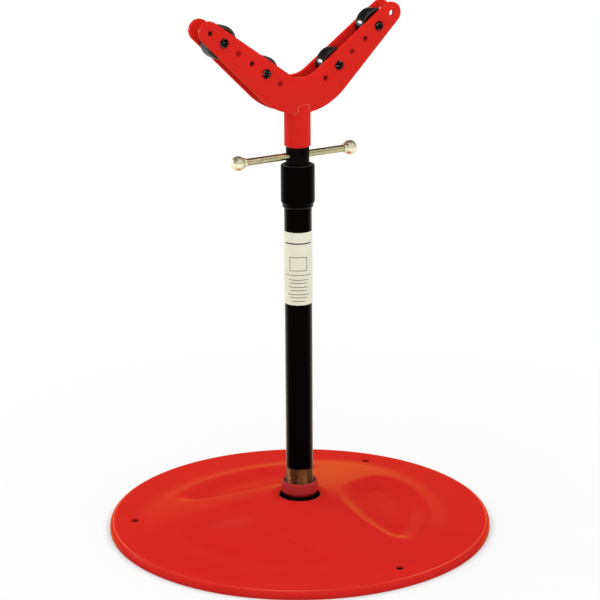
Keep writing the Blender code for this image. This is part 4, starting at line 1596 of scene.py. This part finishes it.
@dataclass
class VHead:
    """The slotted socket tube and the two V plates welded into it."""

    tube_radius: float = 20.0 * MM
    tube_bottom: float = 607.3 * MM
    tube_top: float = 672.3 * MM
    tube_chamfer: Pair = (1.9 * MM, 1.6 * MM)
    bore: float = 11.3 * MM
    pocket: float = 13.8 * MM
    pocket_floor: float = 644.8 * MM
    slot_depth: float = 12.8 * MM
    slot_tool: Pair = (60.0 * MM, 30.0 * MM)
    thickness: float = 6.0 * MM
    plate_edge: float = 0.7 * MM
    gap: float = 22.8 * MM
    belly_radius: float = 105.0 * MM
    valley_radius: float = 42.0 * MM
    web: float = 54.2 * MM
    reach: float = 158.3 * MM
    rise: float = 136.2 * MM
    tip_radius: float = 16.4 * MM
    pitch: float = 29.45 * MM
    slope: float = math.radians(36.4)
    holes: int = 6
    hole_radius: float = 4.35 * MM
    tip_shift: float = 2.2 * MM
    weld_size: float = 1.7 * MM
    weld_pitch: float = 3.4 * MM
    weld_lift: float = 1.0 * MM
    belly_lift: float = 0.8 * MM
    belly_bulge: float = 1.03
    inner_weld: float = 0.7

    @property
    def plate_bottom(self) -> float:
        """Height of the plates' lowest edge."""
        return self.tube_top - self.slot_depth + SEAT_GAP

    @property
    def plate_offset(self) -> float:
        """Distance from the head's middle plane to a plate's middle plane."""
        return self.gap / 2 + self.thickness / 2

    def hole(self, side: int, station: int) -> Point:
        """Give an arm's hole, counted from the tip, in the plate's own plane."""
        run = self.pitch * station
        return (side * (self.reach - run * math.cos(self.slope)),
                self.rise - run * math.sin(self.slope))

    def drilling(self, side: int, station: int) -> Point:
        """Give where a hole is drilled: on its station, but further in at the left tip.

        Args:
            side: -1 for the left arm and 1 for the right one.
            station: Number of the hole, zero at the tip.

        Returns:
            The hole's centre in the plate's own plane.
        """
        across, up = self.hole(side, station)
        if side > 0 or station > 0:
            return across, up
        return (across + self.tip_shift * math.cos(self.slope),
                up - self.tip_shift * math.sin(self.slope))

    def outline(self) -> list[Point]:
        """Draw the V plate: belly, tips and valley joined by their tangents.

        Returns:
            The outline's points in the plate's own plane.
        """
        belly, valley = (0.0, self.belly_radius), (0.0, self.web + self.valley_radius)
        tip = (self.reach, self.rise)
        lower = math.atan2(tip[1] - belly[1], tip[0])
        lower += math.asin((self.belly_radius - self.tip_radius) / math.dist(belly, tip))
        upper = math.atan2(tip[1] - valley[1], tip[0])
        upper += math.asin((self.valley_radius + self.tip_radius) / math.dist(valley, tip))
        down = -math.pi / 2
        half = arc(belly, self.belly_radius, down, down + lower, 28)
        half += arc(tip, self.tip_radius, down + lower, upper - down, 28)
        half += arc(valley, self.valley_radius, down + upper, down, 20)
        return half + [(-across, up) for across, up in reversed(half[1:-1])]

    def build(self) -> None:
        """Build the head's tube, plates and weld beads."""
        self.build_tube()
        loops = [self.outline()]
        loops += [circle(self.drilling(side, station), self.hole_radius, HOLE_ROUND)
                  for side in (-1, 1) for station in range(self.holes)]
        for hand, side in (("front", -1), ("rear", 1)):
            lay = Matrix.Translation((0, side * self.plate_offset, self.plate_bottom)) @ TURN_TO_Y
            made = moved(plate(loops, self.thickness, self.plate_edge), lay)
            piece(f"v_plate_{hand}", made, RED_ENAMEL, Body.HEAD, f"{hand}_plate")
            self.build_welds(f"v_plate_{hand}_weld", side)

    def build_tube(self) -> None:
        """Build the socket tube with a slot for each plate."""
        inset, rise = self.tube_chamfer
        tube = turned([
            Corner(self.tube_radius, self.tube_top, 0.5 * MM),
            Corner(self.tube_radius, self.tube_bottom + rise, 0.8 * MM),
            Corner(self.tube_radius - inset, self.tube_bottom, 0.9 * MM),
            Corner(self.bore, self.tube_bottom, 0.4 * MM),
            Corner(self.bore, self.pocket_floor, 0.2 * MM),
            Corner(self.pocket, self.pocket_floor, 0.2 * MM),
            Corner(self.pocket, self.tube_top, 0.4 * MM),
        ], LARGE_ROUND)
        length, height = self.slot_tool
        slots = [shifted(block((length, self.thickness + 2 * SEAT_GAP, height)), 0,
                         side * self.plate_offset, self.tube_top - self.slot_depth + height / 2)
                 for side in (-1, 1)]
        piece("head_socket", carved(tube, joined(*slots)), RED_ENAMEL, Body.HEAD, "socket_tube")

    def build_welds(self, name: str, side: int) -> None:
        """Weld a plate into the tube: round the tube's lip and under the plate's belly.

        Args:
            name: The weld's name.
            side: -1 for the front plate and 1 for the rear one.
        """
        outer = self.plate_offset + self.thickness / 2
        inner = self.plate_offset - self.thickness / 2
        lip = math.sqrt(self.tube_radius ** 2 - outer ** 2)
        back = math.sqrt(self.tube_radius ** 2 - inner ** 2)
        low = self.plate_bottom
        floor, roof = low + self.weld_lift, self.tube_top
        tab = [(-lip, side * outer, floor), (-lip, side * outer, roof),
               (lip, side * outer, roof), (lip, side * outer, floor)]
        seams = [bead(tab, self.weld_size, self.weld_pitch)]
        for hand in (-1, 1):
            middle = hand * (lip + back) / 2 * self.belly_bulge
            belly = [(hand * lip, side * outer, low),
                     (middle, side * (outer + inner) / 2, low + self.belly_lift / 2),
                     (hand * back, side * inner, low + self.belly_lift)]
            seams.append(bead(belly, self.weld_size, self.weld_pitch))
            upright = [(hand * back, side * inner, floor), (hand * back, side * inner, roof)]
            seams.append(bead(upright, self.weld_size * self.inner_weld, self.weld_pitch))
        piece(name, joined(*seams), RED_BEAD, Body.HEAD, corner=BEAD_CORNER)


@dataclass
class RollerSet:
    """One roller with its sleeve, bolt, washer and nut.

    It stands on a hole of the head: the side of the arm and the hole's station on it.
    """

    name: str
    head: VHead
    side: int
    station: int
    radius: float = 25.4 * MM
    crown: float = 0.6 * MM
    side_play: float = 0.9 * MM
    dish_depth: float = 1.4 * MM
    rim_width: float = 5.0 * MM
    rim_slope: float = 1.2 * MM
    boss_width: float = 4.2 * MM
    boss_slope: float = 1.0 * MM
    bolt_radius: float = 3.97 * MM
    bolt_end: float = 2.0 * MM
    bolt_chamfer: float = 0.6 * MM
    bolt_head_radius: float = 7.0 * MM
    bolt_head_height: float = 4.2 * MM
    dome_foot: float = 0.6 * MM
    dome_steps: int = 12
    key_radius: float = 2.8 * MM
    key_depth: float = 2.5 * MM
    sleeve_radius: float = 6.35 * MM
    washer_radius: float = 8.7 * MM
    washer_thickness: float = 1.6 * MM
    nut_corner: float = 7.3 * MM
    nut_height: float = 6.7 * MM
    nut_face: float = 1.0 * MM
    nut_chamfer: float = 0.9 * MM
    nut_clear: float = 0.2 * MM
    drill_length: float = 20.0 * MM
    lay: Matrix = field(init=False)

    def __post_init__(self) -> None:
        """Work out the matrix that lays the set along Y, bolt heads to the front."""
        across, up = self.head.hole(self.side, self.station)
        self.lay = Matrix.Translation((across, 0, self.head.plate_bottom + up)) @ TURN_TO_Y

    @property
    def stack(self) -> float:
        """Half the length between the bolt head's seat and the washer's seat."""
        return self.head.gap / 2 + self.head.thickness + SEAT_GAP

    def build(self) -> None:
        """Build the set's pieces."""
        self.build_roller()
        self.build_bolt()
        self.build_nut()
        half = self.head.gap / 2 - SEAT_GAP
        self.add("spacer", "sleeve", self.band(self.sleeve_radius, -half, half), BRIGHT_STEEL)

    def add(self, prefix: str, node: str, shape: Skin, finish: Finish, corner: float = PLAIN_CORNER
            ) -> None:
        """Lay a piece of the set in the head, named and standing for its node by prefix."""
        piece(f"{prefix}_{self.name}", moved(shape, self.lay), finish, Body.HEAD,
              f"{node}_{self.name}", corner=corner)

    def band(self, radius: float, low: float, high: float) -> Skin:
        """Turn a ring that the bolt passes through, such as the sleeve or the washer."""
        return ring(self.head.hole_radius, radius, low, high, (0.3 * MM, 0.2 * MM), SMALL_ROUND)

    def build_roller(self) -> None:
        """Build the roller: rounded tread, dished sides and a raised boss."""
        face = self.head.gap / 2 - self.side_play
        dish = face - self.dish_depth
        bore = self.sleeve_radius + SEAT_GAP
        boss, rim = bore + self.boss_width, self.radius - self.rim_width
        half = [
            Corner(bore, face, 0.4 * MM), Corner(boss, face, 0.5 * MM),
            Corner(boss + self.boss_slope, dish, 0.8 * MM),
            Corner(rim - self.rim_slope, dish, 0.8 * MM), Corner(rim, face, 0.6 * MM),
            Corner(self.radius - self.crown, face, 1.8 * MM, 6),
        ]
        tread = Corner(self.radius, 0.0, face, 12)
        wheel = turned([*half, tread, *mirrored(half)], LARGE_ROUND)
        piece(f"wheel_{self.name}", moved(wheel, self.lay), ROLLER_BLACK,
              Body(f"{self.name}_roller"), f"roller_{self.name}")

    def build_bolt(self) -> None:
        """Build the button head bolt with its hexagon socket."""
        seat, top = self.stack, self.stack + self.bolt_head_height
        end = -(self.stack + self.washer_thickness + self.nut_height + 2 * SEAT_GAP
                + self.bolt_end)
        angles = [math.pi / 2 * i / self.dome_steps for i in range(self.dome_steps + 1)]
        dome_rise = self.bolt_head_height - self.dome_foot
        dome = [(self.bolt_head_radius * math.sin(angle),
                 seat + self.dome_foot + dome_rise * math.cos(angle)) for angle in angles]
        dome[0] = (0.0, top)
        bolt = spun([*dome, (self.bolt_head_radius, seat), (self.bolt_radius, seat),
                     (self.bolt_radius, end + self.bolt_chamfer),
                     (self.bolt_radius - self.bolt_chamfer, end), (0.0, end)],
                    SMALL_ROUND, closed=False)
        key = shifted(prism(self.key_radius, 2 * self.key_depth, 6), 0, 0, top)
        self.add("screw", "bolt", carved(bolt, key), BOLT_OXIDE)

    def build_nut(self) -> None:
        """Build the chamfered hexagon nut and the washer under it."""
        half = self.nut_height / 2
        crown = [Corner(0, half + HAIR), Corner(self.nut_corner - self.nut_face, half + HAIR),
                 Corner(self.nut_corner + self.nut_clear, half - self.nut_chamfer)]
        crown = turned(crown + mirrored(crown), SMALL_ROUND, closed=False)
        nut = carved(prism(self.nut_corner, self.nut_height, 6), crown, Cut.SHARED)
        nut = carved(nut, prism(self.head.hole_radius, self.drill_length, HOLE_ROUND))
        low = self.stack + self.washer_thickness + SEAT_GAP
        self.add("hex", "nut", shifted(nut, 0, 0, -(low + half)), BLACK_OXIDE, corner=THREAD_CORNER)
        washer = self.band(self.washer_radius, -self.stack - self.washer_thickness, -self.stack)
        self.add("shim", "washer", washer, BLACK_OXIDE)


# Studio


@dataclass(frozen=True)
class Lamp:
    """A soft square lamp that looks at the stand.

    Its azimuth is in degrees in the camera's own frame. Its height, its distance from the
    column and its side are in metres, and its power in watts.
    """

    name: str
    azimuth: float
    height: float
    away: float
    side: float
    power: float

    def hang(self, turn: float, target: Place) -> None:
        """Hang the lamp.

        Args:
            turn: Angle of the camera's frame about Z.
            target: Point that the lamp looks at.
        """
        data = bpy.data.lights.new(self.name, "AREA")
        data.size = self.side
        data.energy = self.power
        made = shown(self.name, data)
        made.visible_camera = False
        angle = math.radians(self.azimuth) + turn
        place = Vector((self.away * math.cos(angle), self.away * math.sin(angle), self.height))
        made.location = place
        made.rotation_mode = "QUATERNION"
        made.rotation_quaternion = (Vector(target) - place).to_track_quat("-Z", "Y")


@dataclass
class Studio:
    """The pale floor and backdrop, the lamps and the camera.

    The floor's white and the sky are ramps, over the distance from the column and over
    the rise of the view. The floor's colour goes from its first value, a painted shadow of
    near black under the stand, to its second, the floor's own white.
    """

    turn: float = math.radians(-32.0)
    tilt: float = math.radians(16.70)
    roll: float = math.radians(-0.356)
    distance: float = 3.4357
    aim: Place = (0.00229, 0.0, 0.36559)
    focal_pixels: float = 2241.5
    image_pixels: float = 600.0
    sensor: float = 36.0
    clip: Pair = (0.05, 60.0)
    floor_size: float = 30.0
    floor_roughness: float = 0.9
    floor_white: tuple[Pair, ...] = ((0.296, 0.0), (0.2975, 0.375), (0.31, 0.75), (1.0, 1.0))
    floor_full: float = 0.75
    floor_shadow_to_white: Pair = (0.01, 0.85)
    dome: float = 0.80
    sky: tuple[tuple[float, Colour], ...] = (
        (0.0, (0.95, 0.92, 0.84)), (0.08, (0.80, 0.76, 0.66)), (0.30, (0.22, 0.20, 0.17)),
        (0.50, (0.07, 0.07, 0.07)), (1.0, (0.10, 0.10, 0.10)),
    )
    lamp_target: Place = (0.0, 0.0, 0.35)
    lamps: tuple[Lamp, ...] = (
        Lamp("front", 275, 2.4, 2.8, 1.6, 12), Lamp("side", 338, 2.7, 2.2, 1.6, 12),
        Lamp("top", 230, 3.0, 0.5, 0.60, 9), Lamp("left", 158, 1.0, 2.2, 0.36, 11),
    )

    def camera(self) -> None:
        """Place the camera as the photograph was taken."""
        look = Vector((0, math.cos(self.tilt), -math.sin(self.tilt)))
        right = Vector((1, 0, 0))
        up = right.cross(look)
        across = right * math.cos(self.roll) + up * math.sin(self.roll)
        above = up * math.cos(self.roll) - right * math.sin(self.roll)
        frame = Matrix((across, above, -look)).transposed().to_4x4()
        frame.translation = Vector(self.aim) - look * self.distance
        data = bpy.data.cameras.new("camera")
        data.lens = self.focal_pixels / self.image_pixels * self.sensor
        data.sensor_width = self.sensor
        data.clip_start, data.clip_end = self.clip
        made = shown("camera", data)
        made.matrix_world = Matrix.Rotation(self.turn, 4, "Z") @ frame
        bpy.context.scene.camera = made

    def world(self) -> None:
        """Light the room by an even dome, with a sky that gloss shows, white to the camera."""
        world = bpy.data.worlds.new("room")
        bpy.context.scene.world = world
        sheet = NodeSheet(world)
        rise = sheet.upward(sheet.add("TexCoord").outputs["Generated"])
        room = sheet.nodes["Background"]
        sheet.supply(room, {"Color": sheet.colour_ramp(rise, self.sky)})
        dome = sheet.add("Background", Color=rgba(WHITE, self.dome))
        seen = sheet.add("Background", Color=rgba(WHITE))
        path = sheet.add("LightPath").outputs
        shine = sheet.mix_shaders(path["Is Glossy Ray"], dome.outputs[0], room.outputs[0])
        surface = sheet.mix_shaders(path["Is Camera Ray"], shine, seen.outputs[0])
        sheet.supply(sheet.nodes["World Output"], {"Surface": surface})

    def floor_material(self) -> bpy.types.Material:
        """Make a white that shows plain to the eye, still takes the stand's shadow, and is painted
        near black under the stand as a painted shadow.

        Returns:
            The floor's material.
        """
        sheet = MaterialSheet("floor_white")
        fade = sheet.ramp(sheet.radius(), self.floor_white)
        # Painted shadow: the floor's colour drops to near black under the stand
        sheet.dress(Roughness=self.floor_roughness,
                    Base_Color=sheet.remap(fade, *self.floor_shadow_to_white, 0.0, self.floor_full))
        path = sheet.add("LightPath").outputs
        seen = sheet.larger(path["Is Camera Ray"], path["Is Glossy Ray"])
        seen = sheet.larger(seen, path["Is Transmission Ray"])
        surface = sheet.mix_shaders(sheet.times(seen, fade), sheet.shader.outputs[0],
                                    sheet.add("Emission").outputs[0])
        sheet.supply(sheet.nodes["Material Output"], {"Surface": surface})
        return sheet.material

    def floor(self) -> None:
        """Lay a white floor that keeps the stand's shadow near its foot, with a painted shadow
        under the stand.
        """
        shape = bmesh.new()
        bmesh.ops.create_grid(shape, x_segments=1, y_segments=1, size=self.floor_size)
        mesh = mesh_of("floor", shape)
        mesh.materials.append(self.floor_material())
        made = shown("floor", mesh)

    def build(self) -> None:
        """Set up the camera, the room and its lamps."""
        bpy.context.scene.view_settings.view_transform = "Standard"
        self.camera()
        self.world()
        self.floor()
        for lamp in self.lamps:
            lamp.hang(self.turn, self.lamp_target)


def main() -> None:
    """Build the stand round its frame and set up the studio."""
    logging.basicConfig(level=logging.INFO, format="%(name)s %(message)s")
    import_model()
    screw, head = JackScrew(), VHead()
    for assembly in (PressedBase(), Column(), JackCollar(), screw,
                     SlidingHandle(screw.cross_height), head):
        assembly.build()
    for side_name, side in (("left", -1), ("right", 1)):
        for station_name, station in (("outer", 1), ("inner", 4)):
            RollerSet(f"{side_name}_{station_name}", head, side, station).build()
    Studio().build()


if __name__ == "__main__":
    main()
